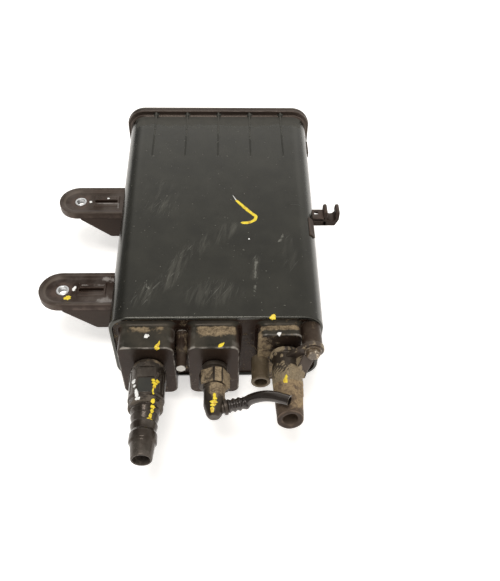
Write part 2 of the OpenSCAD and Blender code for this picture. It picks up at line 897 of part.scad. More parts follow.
// a coil spring with flat closed ends, along Y
module spring(x) {
  turns = 4;
  n = 14;
  m = turns * n;
  k = 6;
  l = spring_l - wire_d;
  rise = [for (i = [0:m]) let (t = i / n) l * min(1, max(0, (t - 0.75) / (turns - 1.5)))];
  pts = [for (i = [0:m], j = [0:k - 1]) let (a = 360 * i / n, b = 360 * j / k + 90,
    r = coil_d / 2 + wire_d / 2 * cos(b)) [r * cos(a), rise[i] + wire_d / 2 * sin(b), r * sin(a)]];
  skin_f = [for (i = [0:m - 1], j = [0:k - 1]) let (a = i * k + j, b = i * k + (j + 1) % k)
    each [[a, b, b + k], [a, b + k, a + k]]];
  near()
    translate([x, y_plate + wire_d / 2, case_h / 2])
      polyhedron(pts, concat(skin_f, [[for (j = [k - 1:-1:0]) j], [for (j = [0:k - 1]) m * k + j]]));
}
module main_spring_left() {
  color([0.6, 0.6, 0.6])
    spring(spring_xs()[0]);
}
module main_spring_right() {
  color([0.6, 0.6, 0.6])
    spring(spring_xs()[1]);
}
module side_spring() {
  color([0.6, 0.6, 0.6])
    spring(spring_xs()[2]);
}

case();
end_cover();
ear_collar_near();
ear_collar_far();
tank_connector();
tank_retainer();
tank_seal();
purge_connector();
purge_retainer();
purge_seal();
purge_tube();
vent_connector();
vent_retainer();
vent_seal();
vent_hose();
vent_bolt();
bolt_insert();
main_carbon();
side_carbon();
main_port_pad();
side_port_pad();
main_cover_pad();
side_cover_pad();
main_plate();
side_plate();
main_spring_left();
main_spring_right();
side_spring();
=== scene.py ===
import math

import bpy
import numpy as np
from bpy.props import FloatProperty, FloatVectorProperty, PointerProperty
from mathutils import Matrix, Vector


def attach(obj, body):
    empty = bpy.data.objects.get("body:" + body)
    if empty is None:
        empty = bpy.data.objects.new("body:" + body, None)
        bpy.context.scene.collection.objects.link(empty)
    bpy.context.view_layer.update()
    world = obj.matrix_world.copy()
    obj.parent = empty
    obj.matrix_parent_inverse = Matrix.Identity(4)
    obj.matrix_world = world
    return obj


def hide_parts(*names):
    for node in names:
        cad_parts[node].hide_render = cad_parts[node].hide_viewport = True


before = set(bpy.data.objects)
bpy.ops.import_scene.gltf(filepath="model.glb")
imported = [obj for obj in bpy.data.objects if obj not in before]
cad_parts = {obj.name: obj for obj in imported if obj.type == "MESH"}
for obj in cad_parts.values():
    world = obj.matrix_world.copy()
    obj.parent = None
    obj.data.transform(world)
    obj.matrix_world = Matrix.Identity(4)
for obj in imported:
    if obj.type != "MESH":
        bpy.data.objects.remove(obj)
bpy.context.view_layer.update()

bl_info = {
    "name": "Used charcoal canister",
    "version": (1, 0, 0),
    "blender": (4, 5, 0),
    "location": "View3D > Sidebar > Canister",
    "description": "Dresses the packed canister: worn black mouldings, dirty connectors, cut stubs and paint marks",
    "category": "Object",
}

# Places and sizes, millimetres
CASE_LONG = 233.0  # from the port end to the weld flange
PORT_END = -CASE_LONG / 2  # along Y: the frame's origin is in the middle of the case
WALL = 2.4  # the case's skin
COLLAR_BORE, COLLAR_R = 3.3, 4.8  # the ears' steel collars
TANK_X, PURGE_X, VENT_X = -46.8, -1.2, 49.0  # the three ports' axes across the case
PEG, NIPPLE = (-24.0, 50.0), (31.0, 33.0)  # across the port end and up
LUG = 17.0  # the bolt's place from the vent port's axis, both across and up
LUG_TOP = 10.5  # the lug's face from the vent housing
CLIP_Y, CLIP_LONG, CLIP_DROP = 116.0, 10.0, 12.0  # the clip's middle from the port end, length, depth below the top
PIPE_REACH, PIPE_R = 14.6, 3.5  # the clip's pipe from the case wall, and its radius

# Stage: the floor's gap below the part in metres, the sensor in millimetres, the frame in pixels
FLOOR_GAP, SENSOR, FRAME_HIGH = 0.0004, 36.0, 581.0

# Tints
PALE = (0.62, 0.60, 0.56)  # a scuff
WARM = (1.0, 0.84, 0.73)  # the gloss where dust is bound in the surface
HAZE, CUT, SPECK = (0.13, 0.125, 0.105), (0.30, 0.295, 0.26), (0.22, 0.215, 0.18)  # scratches on the case
DIRT_ROUGH = 0.85  # roughness of caked dirt


# Property helpers. Lengths are stored in metres and read in millimetres.

def length(name, text, value):
    return FloatProperty(name=name, description=text, default=value / 1000, unit="LENGTH", precision=4)


def angle(name, text, value):
    return FloatProperty(name=name, description=text, default=math.radians(value), subtype="ANGLE")


def factor(name, text, value):
    return FloatProperty(name=name, description=text, default=value, min=0.0, max=1.0, subtype="FACTOR")


def colour(name, text, value):
    return FloatVectorProperty(name=name, description=text, default=value, size=3, min=0.0, max=1.0, subtype="COLOR")


def mm(value):
    """A property's length in millimetres."""
    return 1000.0 * value


class CaseLook(bpy.types.PropertyGroup):
    width: length("Width", "Width of the case at its port end", 150)
    taper: length("Taper", "How much wider the case is at its cover end", 9)
    long: length("Length", "Length from the port end to the weld flange", CASE_LONG)
    height: length("Height", "Height of the case", 72)
    corner: length("Corner radius", "Radius of the four long edges", 14)
    rim: length("Rim rounding", "Rounding of the proud skin at the port end", 1.1)
    lip_side: length("Side lip", "How far the flange stands out at the sides", 3.5)
    lip_top: length("Top lip", "How far the flange stands out on top", 5.5)
    flash: length("Weld flash", "How far the weld's flash stands out", 0.3)
    rib_pitch: length("Rib pitch", "Spacing of the gusset ribs", 28)
    plastic: colour("Plastic", "Colour of the case", (0.0068, 0.0066, 0.0048))
    brown: colour("Brown plastic", "Colour of the ears, clip and port end", (0.022, 0.0128, 0.009))


class EarLook(bpy.types.PropertyGroup):
    pitch: length("Pitch", "Distance between the two bolt holes", 98)
    place: length("Place", "Distance of the near ear from the port end", 44.5)
    reach: length("Reach", "Distance of the bolt holes from the case wall", 39.5)
    radius: length("Radius", "Radius of an ear's round end", 16)
    drop: length("Drop", "How far the rims lie below the case top", 20.5)
    rim: length("Rim", "Width of the rim and skirt", 3.4)
    skirt: length("Skirt", "Depth of the skirt", 6.6)


class PortLook(bpy.types.PropertyGroup):
    drop: length("Drop", "How far the port axes lie below the case top", 29)
    depth: length("Depth", "Depth of the tank and purge housings", 20)
    vent_depth: length("Vent depth", "Depth of the vent housing", 9.5)
    edge: length("Edge", "Rounding of the housings' front edges", 1.0)
    foot: length("Foot", "Height of the housings' undersides", 9)
    top: length("Top", "How far the housings' tops lie below the case top", 7.3)
    tilt: angle("Tank tilt", "Upward lean of the tank port", 5)
    yaw: angle("Tank yaw", "Outward lean of the tank port", 1)
    black: colour("Connector", "Colour of the tank connector", (0.0165, 0.0125, 0.0092))
    rubber: colour("Rubber", "Colour of the hose under its dirt", (0.110, 0.076, 0.054))
    tan: colour("Dirt", "Light tone of the caked dirt", (0.36, 0.275, 0.17))
    umber: colour("Dark dirt", "Dark tone of the caked dirt", (0.115, 0.085, 0.055))


class PaintLook(bpy.types.PropertyGroup):
    yellow: colour("Yellow", "Colour of the yellow marks", (0.90, 0.70, 0.035))
    white: colour("White", "Colour of the white marks", (0.95, 0.95, 0.93))
    thick: length("Thickness", "Height of a paint mark over its surface", 0.25)


class StageLook(bpy.types.PropertyGroup):
    eye: FloatVectorProperty(name="Camera", description="Place of the camera", size=3, unit="LENGTH",
                             default=(0.00978, -0.39978, 0.43213))
    pitch: FloatProperty(name="Pitch", description="How far the camera looks down", default=0.86351, subtype="ANGLE")
    yaw: FloatProperty(name="Yaw", description="How far the camera turns right", default=0.04575, subtype="ANGLE")
    roll: FloatProperty(name="Roll", description="How far the camera leans", default=0.02992, subtype="ANGLE")
    focal: FloatProperty(name="Focal length", description="Focal length in pixels of the frame", default=669.22)
    floor: colour("Floor", "Colour of the floor", (0.97, 0.955, 0.935))
    lift: factor("Floor lift", "Plain white added to the floor", 0.55)
    low: FloatProperty(name="Low light", description="Level of the room low down", default=1.28)
    high: FloatProperty(name="High light", description="Level of the room overhead", default=0.67)
    left: factor("Left wall", "Level of the room's left side", 0.18)
    right: factor("Right wall", "Level of the room's right side", 0.55)
    key: FloatProperty(name="Key light", description="Power of the overhead light", default=8.0)


# Outlines and surfaces. Points are millimetres in the part's frame.

def circle(r, n=56):
    """Circle: r (cos a, sin a), a going once round."""
    a = np.linspace(0, 2 * np.pi, n, endpoint=False)
    return r * np.stack([np.cos(a), np.sin(a)], 1)


def round_rect(w, h, r, n=10, flat=0):
    """Rectangle with round corners: a quarter circle about each corner's centre, and flat points on each side."""
    a = np.arange(4)[:, None] * np.pi / 2 + np.linspace(0, np.pi / 2, n + 1)
    c = np.array([[1, 1], [-1, 1], [-1, -1], [1, -1]]) * [w / 2 - r, h / 2 - r]
    arc = c[:, None] + r * np.stack([np.cos(a), np.sin(a)], -1)
    side = arc[:, -1:] + (np.roll(arc, -1, 0)[:, :1] - arc[:, -1:]) * np.linspace(0, 1, flat + 2)[1:-1, None]
    return np.concatenate([arc, side], 1).reshape(-1, 2)


def soften(corners, d, n=3):
    """Closed polygon with each corner p as the curve (1-t)^2 a + 2t(1-t) p + t^2 b, a and b a step d from p."""
    p = np.asarray(corners, float)
    back, on = np.roll(p, 1, 0) - p, np.roll(p, -1, 0) - p
    lb, lo = np.linalg.norm(back, axis=1), np.linalg.norm(on, axis=1)
    step = np.minimum(d, 0.45 * np.minimum(lb, lo))
    a, b = p + back * (step / lb)[:, None], p + on * (step / lo)[:, None]
    t = np.linspace(0, 1, n + 1)[None, :, None]
    return ((1 - t) ** 2 * a[:, None] + 2 * t * (1 - t) * p[:, None] + t * t * b[:, None]).reshape(-1, 2)


def finer(outline, n):
    """Outline with each of its sides cut in n equal pieces: p + t (q - p)."""
    t = np.linspace(0, 1, n, endpoint=False)[None, :, None]
    return (outline[:, None] + t * (np.roll(outline, -1, 0) - outline)[:, None]).reshape(-1, 2)


def inset(outline, d):
    """Outline moved inwards: p + d (n1 + n2) / (1 + n1.n2), n1 and n2 the normals of the sides that meet at p."""
    e = np.roll(outline, -1, 0) - outline
    n = np.stack([-e[:, 1], e[:, 0]], 1) / np.linalg.norm(e, axis=1)[:, None]
    m = np.roll(n, 1, 0)
    return outline + d * (n + m) / np.clip(1 + (n * m).sum(1), 0.25, None)[:, None]


def onto_circle(outline, centre, r):
    """The outline's points drawn along their rays on a circle about the centre."""
    v = outline - np.asarray(centre)
    return centre + r * v / np.linalg.norm(v, axis=1)[:, None]


def axes(origin, x, y):
    """Origin and three axes, the third square to the first two."""
    x, y = np.asarray(x, float), np.asarray(y, float)
    return np.asarray(origin, float), x, y, np.cross(x, y)


def place(flat, height, ax):
    """Flat points at a height: origin + u x + v y + height z."""
    o, x, y, z = ax
    return o + flat[:, :1] * x + flat[:, 1:] * y + np.reshape(height, (-1, 1)) * z


def block(outline, h0, h1, r, ax, r0=0.2, steps=4, mid=2, hold=0.5):
    """Outline carried from h0 to h1, its rims rounded: inset r (1 - cos a) at height h1 - r (1 - sin a).

    r0 is the low rim's rounding, mid the number of rings between, hold the width of a flat ring inside each rim.
    """
    a = np.linspace(0, np.pi / 2, steps + 1)
    low = np.stack([r0 * (1 - np.cos(a)), h0 + r0 * (1 - np.sin(a))], 1)[::-1]
    high = np.stack([r * (1 - np.cos(a)), h1 - r * (1 - np.sin(a))], 1)
    between = np.stack([np.zeros(mid), np.linspace(h0 + r0, h1 - r, mid + 2)[1:-1]], 1)
    levels = np.concatenate([low, between, high])
    if hold:
        levels = np.concatenate([[[r0 + hold, h0]], levels, [[r + hold, h1]]])
    return np.stack([place(inset(outline, d), h, ax) for d, h in levels])


def lathe(profile, ax, n=64):
    """Profile of (radius, height) turned about the third axis."""
    o, x, y, z = ax
    c = circle(1.0, n)
    ring = c[:, :1] * x + c[:, 1:] * y
    p = np.asarray(profile, float)
    return o + p[:, 0, None, None] * ring[None] + p[:, 1, None, None] * z


def along(points, n):
    """Smooth path: Catmull-Rom curve through the points, n steps for each span."""
    p = np.asarray(points, float)
    q = np.concatenate([[2 * p[0] - p[1]], p, [2 * p[-1] - p[-2]]])
    a, b, c, d = q[:-3, None], q[1:-2, None], q[2:-1, None], q[3:, None]
    t = np.linspace(0, 1, n, endpoint=False)[None, :, None]
    s = 0.5 * (2 * b + (c - a) * t + (2 * a - 5 * b + 4 * c - d) * t ** 2 + (3 * b - a - 3 * c + d) * t ** 3)
    return np.concatenate([s.reshape(-1, p.shape[1]), p[-1:]])


def sweep(path, across, over, n=20, up=(0, 0, 1)):
    """Ellipse carried along a path: path + across cos a u + over sin a v, u and v square to the path."""
    d = np.gradient(path, axis=0)
    d /= np.linalg.norm(d, axis=1)[:, None]
    u = np.cross(d, up)
    u /= np.linalg.norm(u, axis=1)[:, None]
    v = np.cross(u, d)
    a = np.linspace(0, 2 * np.pi, n, endpoint=False)[None, :, None]
    across, over = np.reshape(across, (-1, 1, 1)), np.reshape(over, (-1, 1, 1))
    return path[:, None] + across * np.cos(a) * u[:, None] + over * np.sin(a) * v[:, None]


def step(x, lo, hi):
    """Smooth step from 0 at lo to 1 at hi."""
    t = np.clip((x - lo) / (hi - lo), 0, 1)
    return t * t * (3 - 2 * t)


def ripple(p, size, seed):
    """Smooth unevenness between -1 and 1: a sum of sines in turned directions."""
    k = np.random.default_rng(seed).normal(size=(6, 3)) / size
    return np.sin(p @ k.T + np.arange(6) * 1.7).mean(-1) * 1.6


def off(p, ax):
    """Distance from the line of the third axis."""
    d = p - ax[0]
    return np.hypot(d @ ax[1], d @ ax[2])


def away_from(p, path):
    """Distance in plan from a path of straight pieces: from each point to the nearest point of each piece."""
    q = np.asarray(path, float)
    v, w = q[1:] - q[:-1], p[:, None, :2] - q[:-1]
    t = np.clip((w * v).sum(-1) / (v * v).sum(-1), 0, 1)
    return np.linalg.norm(w - t[..., None] * v, axis=-1).min(1)


class Shell:
    """Collects surfaces and makes one mesh object of them."""

    def __init__(self):
        self.points, self.faces, self.count = [], [], 0

    def rings(self, grid, loop=False, caps=True):
        """Closed rings joined by quads; loop joins the last to the first, caps close the two ends."""
        m, n = grid.shape[:2]
        i = self.count + np.arange(m * n).reshape(m, n)
        a, b = (i, np.roll(i, -1, 0)) if loop else (i[:-1], i[1:])
        quads = np.stack([a, np.roll(a, -1, 1), np.roll(b, -1, 1), b], -1).reshape(-1, 4)
        self.faces += quads.tolist()
        if caps and not loop:
            self.faces += [i[0, ::-1].tolist(), i[-1].tolist()]
        return self._keep(grid)

    def patch(self, grid):
        """An open sheet, seen from the side where its first index runs right and its second up."""
        m, n = grid.shape[:2]
        i = self.count + np.arange(m * n).reshape(m, n)
        quads = np.stack([i[:-1, :-1], i[1:, :-1], i[1:, 1:], i[:-1, 1:]], -1).reshape(-1, 4)
        self.faces += quads.tolist()
        return self._keep(grid)

    def _keep(self, grid):
        self.points.append(grid.reshape(-1, 3))
        self.count += grid.shape[0] * grid.shape[1]
        return self

    def make(self, name, slot, finish, replaces=(), soil=0.0, scuff=0.0, rub=0.0):
        """The finished piece, with its edges, dirt, scuffs and rubbed places as attributes, each a rule or a number; on
        some pieces the dirt and rubbed places also carry painted light and shade.
        """
        p = np.concatenate(self.points)
        mesh = bpy.data.meshes.new(name)
        mesh.from_pydata((p / 1000).tolist(), [], self.faces)
        mesh.update()
        mesh.shade_smooth()
        mesh.set_sharp_from_angle(angle=math.radians(42))
        keep_attribute(mesh, "edge", convexity(mesh))
        for key, rule in (("soil", soil), ("scuff", scuff), ("rub", rub)):
            keep_attribute(mesh, key, rule(p) if callable(rule) else np.full(len(p), rule))
        mesh.materials.append(bpy.data.materials[finish])
        piece = bpy.data.objects.new(name, mesh)
        bpy.context.scene.collection.objects.link(piece)
        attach(piece, "root")
        if replaces:
            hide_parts(*replaces)
        return piece


def convexity(mesh):
    """How far each point stands out from its neighbours: the mean of normal . direction from them."""
    v, e = len(mesh.vertices), len(mesh.edges)
    co, no, ends = np.zeros(v * 3), np.zeros(v * 3), np.zeros(e * 2, np.int32)
    mesh.vertices.foreach_get("co", co)
    mesh.vertices.foreach_get("normal", no)
    mesh.edges.foreach_get("vertices", ends)
    co, no, ends = co.reshape(-1, 3), no.reshape(-1, 3), ends.reshape(-1, 2)
    d = co[ends[:, 0]] - co[ends[:, 1]]
    d /= np.linalg.norm(d, axis=1)[:, None] + 1e-12
    out, num = np.zeros(v), np.zeros(v)
    np.add.at(out, ends[:, 0], (d * no[ends[:, 0]]).sum(1))
    np.add.at(out, ends[:, 1], -(d * no[ends[:, 1]]).sum(1))
    np.add.at(num, ends.ravel(), 1)
    return np.clip(4.0 * out / np.maximum(num, 1), 0, 1)


def keep_attribute(mesh, name, values):
    """One number for each point, which the materials read."""
    mesh.attributes.new(name, "FLOAT", "POINT").data.foreach_set("value", np.asarray(values, np.float32))


# Shader helpers

class Net:
    """A node tree and short ways to fill it."""

    def __init__(self, tree):
        self.tree = tree

    def feed(self, socket, value):
        """Links a socket to another, or sets its value."""
        if isinstance(value, bpy.types.NodeSocket):
            self.tree.links.new(value, socket)
        elif isinstance(value, tuple) and socket.type == "RGBA" and len(value) == 3:
            socket.default_value = (*value, 1.0)
        else:
            socket.default_value = value

    def put(self, kind, sockets=None, **settings):
        """A new node with its settings and inputs."""
        node = self.tree.nodes.new("ShaderNode" + kind)
        for key, value in settings.items():
            setattr(node, key, value)
        for key, value in (sockets or {}).items():
            self.feed(node.inputs[key], value)
        return node

    def math(self, operation, a, b):
        return self.put("Math", {0: a, 1: b}, operation=operation).outputs[0]

    def times(self, a, b):
        return self.math("MULTIPLY", a, b)

    def plus(self, a, b):
        return self.math("ADD", a, b)

    def span(self, value, lo, hi, to_lo=0.0, to_hi=1.0):
        """Smooth step of a value from lo to hi."""
        node = self.put("MapRange", {"Value": value, "From Min": lo, "From Max": hi, "To Min": to_lo,
                                     "To Max": to_hi}, interpolation_type="SMOOTHSTEP")
        return node.outputs["Result"]

    def mix(self, share, a, b):
        """Colour a where the share is 0, b where it is 1."""
        node = self.put("Mix", {0: share}, data_type="RGBA")
        self.feed(node.inputs[6], a)
        self.feed(node.inputs[7], b)
        return node.outputs[2]

    def noise(self, vector, scale, detail=2.0, rough=0.5, distortion=0.0):
        node = self.put("TexNoise", {"Vector": vector, "Scale": scale, "Detail": detail, "Roughness": rough,
                                     "Distortion": distortion})
        return node.outputs["Fac"]

    def where(self):
        """The place on the piece, in metres."""
        return self.put("TexCoord").outputs["Object"]

    def attribute(self, name):
        return self.put("Attribute", attribute_name=name).outputs["Fac"]

    def use(self, name, **sockets):
        """Places a shared group with its own values."""
        return self.put("Group", sockets, node_tree=bpy.data.node_groups[name]).outputs

    def bump(self, shader, height, strength=1.0):
        """Feeds a height in metres to a shader's normal."""
        node = self.put("Bump", {"Strength": strength, "Distance": 1.0, "Height": height})
        self.feed(shader["Normal"], node.outputs[0])


def shade(tint, share):
    """A tint made darker or lighter."""
    return tuple(share * c for c in tint)


def group(name, ins, outs):
    """An empty node group with its sockets: a Net, its inputs by name and a way to set its outputs."""
    tree = bpy.data.node_groups.new(name, "ShaderNodeTree")
    for key, kind in ins:
        tree.interface.new_socket(key, in_out="INPUT", socket_type="NodeSocket" + kind)
    for key, kind in outs:
        tree.interface.new_socket(key, in_out="OUTPUT", socket_type="NodeSocket" + kind)
    net = Net(tree)
    return net, tree.nodes.new("NodeGroupInput").outputs, tree.nodes.new("NodeGroupOutput").inputs


def make_scratches():
    """Fine scratches: noise drawn out along one direction and cut narrow, with a soft haze along them."""
    net, given, out = group("fine_scratches", [("Vector", "Vector"), ("Turn", "Float")],
                            [("Mask", "Float"), ("Haze", "Float")])
    turned = net.put("VectorRotate", {"Vector": given["Vector"], "Angle": given["Turn"]}, rotation_type="Z_AXIS")
    drawn = net.put("Mapping", {"Vector": turned.outputs[0], "Scale": (55.0, 900.0, 55.0)})
    lines = net.span(net.noise(drawn.outputs[0], 1.0, 2.0, 0.65, 0.3), 0.58, 0.72)
    patches = net.span(net.noise(given["Vector"], 38.0, 2.0), 0.42, 0.62)
    net.feed(out["Mask"], net.times(lines, patches))
    soft = net.put("Mapping", {"Vector": turned.outputs[0], "Scale": (35.0, 230.0, 35.0)})
    net.feed(out["Haze"], net.span(net.noise(soft.outputs[0], 1.0, 3.0, 0.6, 0.5), 0.42, 0.75))


def make_dust():
    """Dust film: thin and cloudy, on what faces up."""
    net, given, out = group("dust_film", [("Vector", "Vector"), ("Facing", "Float")], [("Mask", "Float")])
    cloud = net.span(net.noise(given["Vector"], 48.0, 5.0, 0.6), 0.32, 0.72)
    net.feed(out["Mask"], net.times(cloud, net.span(given["Facing"], 0.1, 0.95)))


def make_dirt():
    """Caked dirt: a place between 0 and 1, its border broken by noise, with a tone and a height."""
    net, given, out = group("caked_dirt", [("Vector", "Vector"), ("Where", "Float")],
                            [("Mask", "Float"), ("Tone", "Float"), ("Height", "Float")])
    coarse = net.noise(given["Vector"], 170.0, 6.0, 0.68, 0.4)
    fine = net.noise(given["Vector"], 900.0, 3.0, 0.6)
    ragged = net.times(net.math("SUBTRACT", coarse, 0.5), 1.7)
    mask = net.span(net.plus(given["Where"], ragged), 0.38, 0.72)
    net.feed(out["Mask"], net.times(mask, net.span(given["Where"], 0.0, 0.12)))
    tone = net.span(net.plus(net.times(coarse, 0.6), net.times(fine, 0.4)), 0.36, 0.62)
    net.feed(out["Tone"], net.times(tone, net.span(given["Where"], 0.25, 0.85, 0.3, 1.0)))
    net.feed(out["Height"], net.times(mask, fine))


def make_wear_and_highlight():
    """Edge wear and painted highlight: the edge attribute, broken by noise."""
    net, given, out = group("worn_and_lit_edge", [("Vector", "Vector"), ("Edge", "Float")], [("Mask", "Float")])
    rubbed = net.times(given["Edge"], net.span(net.noise(given["Vector"], 140.0, 4.0), 0.3, 0.7, 0.35, 1.3))
    net.feed(out["Mask"], net.span(rubbed, 0.12, 0.75))


def make_grain():
    """Moulded grain: fine stipple over a slow waviness."""
    net, given, out = group("mould_grain", [("Vector", "Vector")], [("Height", "Float")])
    fine = net.noise(given["Vector"], 2400.0, 1.0)
    slow = net.noise(given["Vector"], 60.0, 2.0)
    net.feed(out["Height"], net.plus(net.times(fine, 0.35), net.times(slow, 0.65)))


def new_material(name):
    """An empty material: itself, its net and the inputs of its one shader."""
    mat = bpy.data.materials.new(name)
    mat.use_nodes = True
    mat.node_tree.nodes.clear()
    net = Net(mat.node_tree)
    shader = net.put("BsdfPrincipled")
    net.feed(net.put("OutputMaterial").inputs["Surface"], shader.outputs[0])
    return mat, net, shader.inputs


def plastic(name, base, ports, rough=0.42, film=0.25, film_tint=(0.20, 0.165, 0.125), scratch=0.0, wear=0.4,
            grain=0.00012, pale=PALE, tan=None, umber=None, shine=0.5, upper=None, warm=(1.0, 1.0, 1.0), rims=0.0,
            worn=None, lump=0.0006):
    """Moulded plastic or rubber: tone, dust film, scratches, edge wear and painted highlight, scuffs and caked dirt, in
    that order.

    upper is the tint laid where the rub attribute is set, on the ears partly a painted highlight; worn that of the
    edges' wear and painted highlight, pale that of scuffs, tan and umber those of the dirt, warm that of the gloss.
    rims lightens the dirt's border. grain and lump are heights of the bump in metres.
    """
    mat, net, shader = new_material(name)
    tan, umber = tan or tuple(ports.tan), umber or tuple(ports.umber)
    shader["Specular IOR Level"].default_value = shine
    shader["Specular Tint"].default_value = (*warm, 1.0)
    where = net.where()
    facing = net.put("SeparateXYZ", {0: net.put("NewGeometry").outputs["Normal"]}).outputs["Z"]
    tone = net.noise(where, 26.0, 4.0, 0.6)
    tint = net.mix(net.span(tone, 0.3, 0.7), shade(base, 0.78), shade(base, 1.25))
    if upper:
        tint = net.mix(net.attribute("rub"), tint, upper)
    dust = net.times(net.use("dust_film", Vector=where, Facing=facing)["Mask"], film)
    tint = net.mix(dust, tint, film_tint)
    gloss = net.plus(rough, net.times(dust, 0.5))
    if scratch:
        rub = net.times(net.attribute("rub"), scratch)
        steep = net.use("fine_scratches", Vector=where, Turn=1.78)
        cuts = net.math("MAXIMUM", net.use("fine_scratches", Vector=where, Turn=2.15)["Mask"], steep["Mask"])
        tint = net.mix(net.times(steep["Haze"], net.times(rub, 0.85)), tint, HAZE)
        tint = net.mix(net.times(cuts, rub), tint, CUT)
        specks = net.span(net.noise(where, 430.0, 1.0), 0.735, 0.78)
        tint = net.mix(net.times(specks, 0.4), tint, SPECK)
    # wear and painted highlight: convex edges take the pale edge tint
    edges = net.times(net.use("worn_and_lit_edge", Vector=where, Edge=net.attribute("edge"))["Mask"], wear)
    tint = net.mix(edges, tint, worn or tuple(min(1.0, 3.2 * c + 0.03) for c in base))
    rubbed = net.use("caked_dirt", Vector=where, Where=net.attribute("scuff"))["Mask"]
    tint = net.mix(rubbed, tint, pale)
    dirt = net.use("caked_dirt", Vector=where, Where=net.attribute("soil"))
    tint = net.mix(dirt["Mask"], tint, net.mix(dirt["Tone"], umber, tan))
    flake = net.times(net.times(dirt["Mask"], net.math("SUBTRACT", 1.0, dirt["Mask"])), rims)
    tint = net.mix(flake, tint, tan)
    gloss = net.math("MAXIMUM", gloss, net.times(dirt["Mask"], DIRT_ROUGH))
    net.feed(shader["Base Color"], tint)
    net.feed(shader["Roughness"], gloss)
    height = net.plus(net.times(net.use("mould_grain", Vector=where)["Height"], grain),
                      net.times(dirt["Height"], lump))
    net.bump(shader, height)
    return mat


def metal(name, bright, dull, rough, rust=None, amount=0.0, pits=0.0002):
    """Plated steel: bright and dull tones in noise, with rust or dirt over a share of it, painted shade by the soil
    attribute.
    """
    mat, net, shader = new_material(name)
    where = net.where()
    tone = net.noise(where, 420.0, 4.0, 0.65)
    tint = net.mix(net.span(tone, 0.35, 0.65), dull, bright)
    net.feed(shader["Roughness"], net.span(tone, 0.3, 0.7, rough + 0.15, rough))
    if rust:
        cover = net.span(net.noise(where, 260.0, 5.0, 0.7), 0.62 - 0.3 * amount, 0.72 - 0.3 * amount)
        tint = net.mix(cover, tint, net.mix(tone, shade(rust, 0.45), rust))
        net.feed(shader["Metallic"], net.math("SUBTRACT", 1.0, cover))
    else:
        shader["Metallic"].default_value = 1.0
    # painted shade: the soil attribute darkens the metal, on the collars inside the bore
    tint = net.mix(net.attribute("soil"), tint, shade(dull, 0.12))
    net.feed(shader["Base Color"], tint)
    net.bump(shader, net.times(tone, pits), 0.5)
    return mat


def speckled(name, light, dark, scale, rough, metallic=0.0):
    """Plain inner finish: two tones in noise, with its own small bump."""
    mat, net, shader = new_material(name)
    where = net.where()
    tone = net.noise(where, scale, 3.0, 0.6)
    net.feed(shader["Base Color"], net.mix(net.span(tone, 0.35, 0.65), dark, light))
    net.feed(shader["Roughness"], net.span(tone, 0.3, 0.7, rough, min(1.0, rough + 0.15)))
    shader["Metallic"].default_value = metallic
    net.bump(shader, net.times(tone, 0.0004), 0.6)
    return mat


def paint(name, tint, thin):
    """Marker paint: its colour, thin in slow patches and darker in fine pits."""
    mat, net, shader = new_material(name)
    where = net.where()
    pits = net.noise(where, 1500.0, 3.0, 0.6)
    body = net.mix(net.span(net.noise(where, 420.0, 3.0, 0.6), 0.48, 0.68), tint, thin)
    net.feed(shader["Base Color"], net.mix(net.span(pits, 0.25, 0.5), shade(tint, 0.72), body))
    net.feed(shader["Roughness"], net.span(pits, 0.3, 0.7, 0.55, 0.4))
    net.bump(shader, net.times(pits, 0.0001), 0.5)
    return mat


# Places on the canister

def looks():
    """The sizes and colours of case, ears and ports."""
    return bpy.context.scene.canister_case, bpy.context.scene.canister_ears, bpy.context.scene.canister_ports


def half_width(case, y):
    """Half the case's width at a distance from its port end."""
    return (mm(case.width) + mm(case.taper) * y / mm(case.long)) / 2


def facing_ports(x=0.0, y=0.0, z=0.0):
    """Axes that look out of the port end: right, up and towards the ports, from a point y along the case."""
    return axes((x, PORT_END + y, z), (1, 0, 0), (0, 0, 1))


def tank_axes(case, ports):
    """Axes of the tank port, leaned up by its tilt and outwards by its yaw."""
    a, c = math.pi / 2 - ports.tilt, ports.yaw
    up = (-math.sin(c) * math.cos(a), math.cos(c) * math.cos(a), math.sin(a))
    return axes((TANK_X, PORT_END - mm(ports.depth), mm(case.height) - mm(ports.drop)),
                (math.cos(c), math.sin(c), 0), up)


def purge_axes(case, ports):
    """Axes of the purge port, straight out of its housing."""
    return facing_ports(PURGE_X, -mm(ports.depth), mm(case.height) - mm(ports.drop))


def vent_axes(case, ports):
    """Axes of the vent port, straight out of its housing."""
    return facing_ports(VENT_X, -mm(ports.vent_depth), mm(case.height) - mm(ports.drop))


def boss_axes(case, ports, out=0.0):
    """Axes of the bolt and its boss, a distance out from the port end."""
    return facing_ports(VENT_X + LUG, -out, mm(case.height) - mm(ports.drop) + LUG)


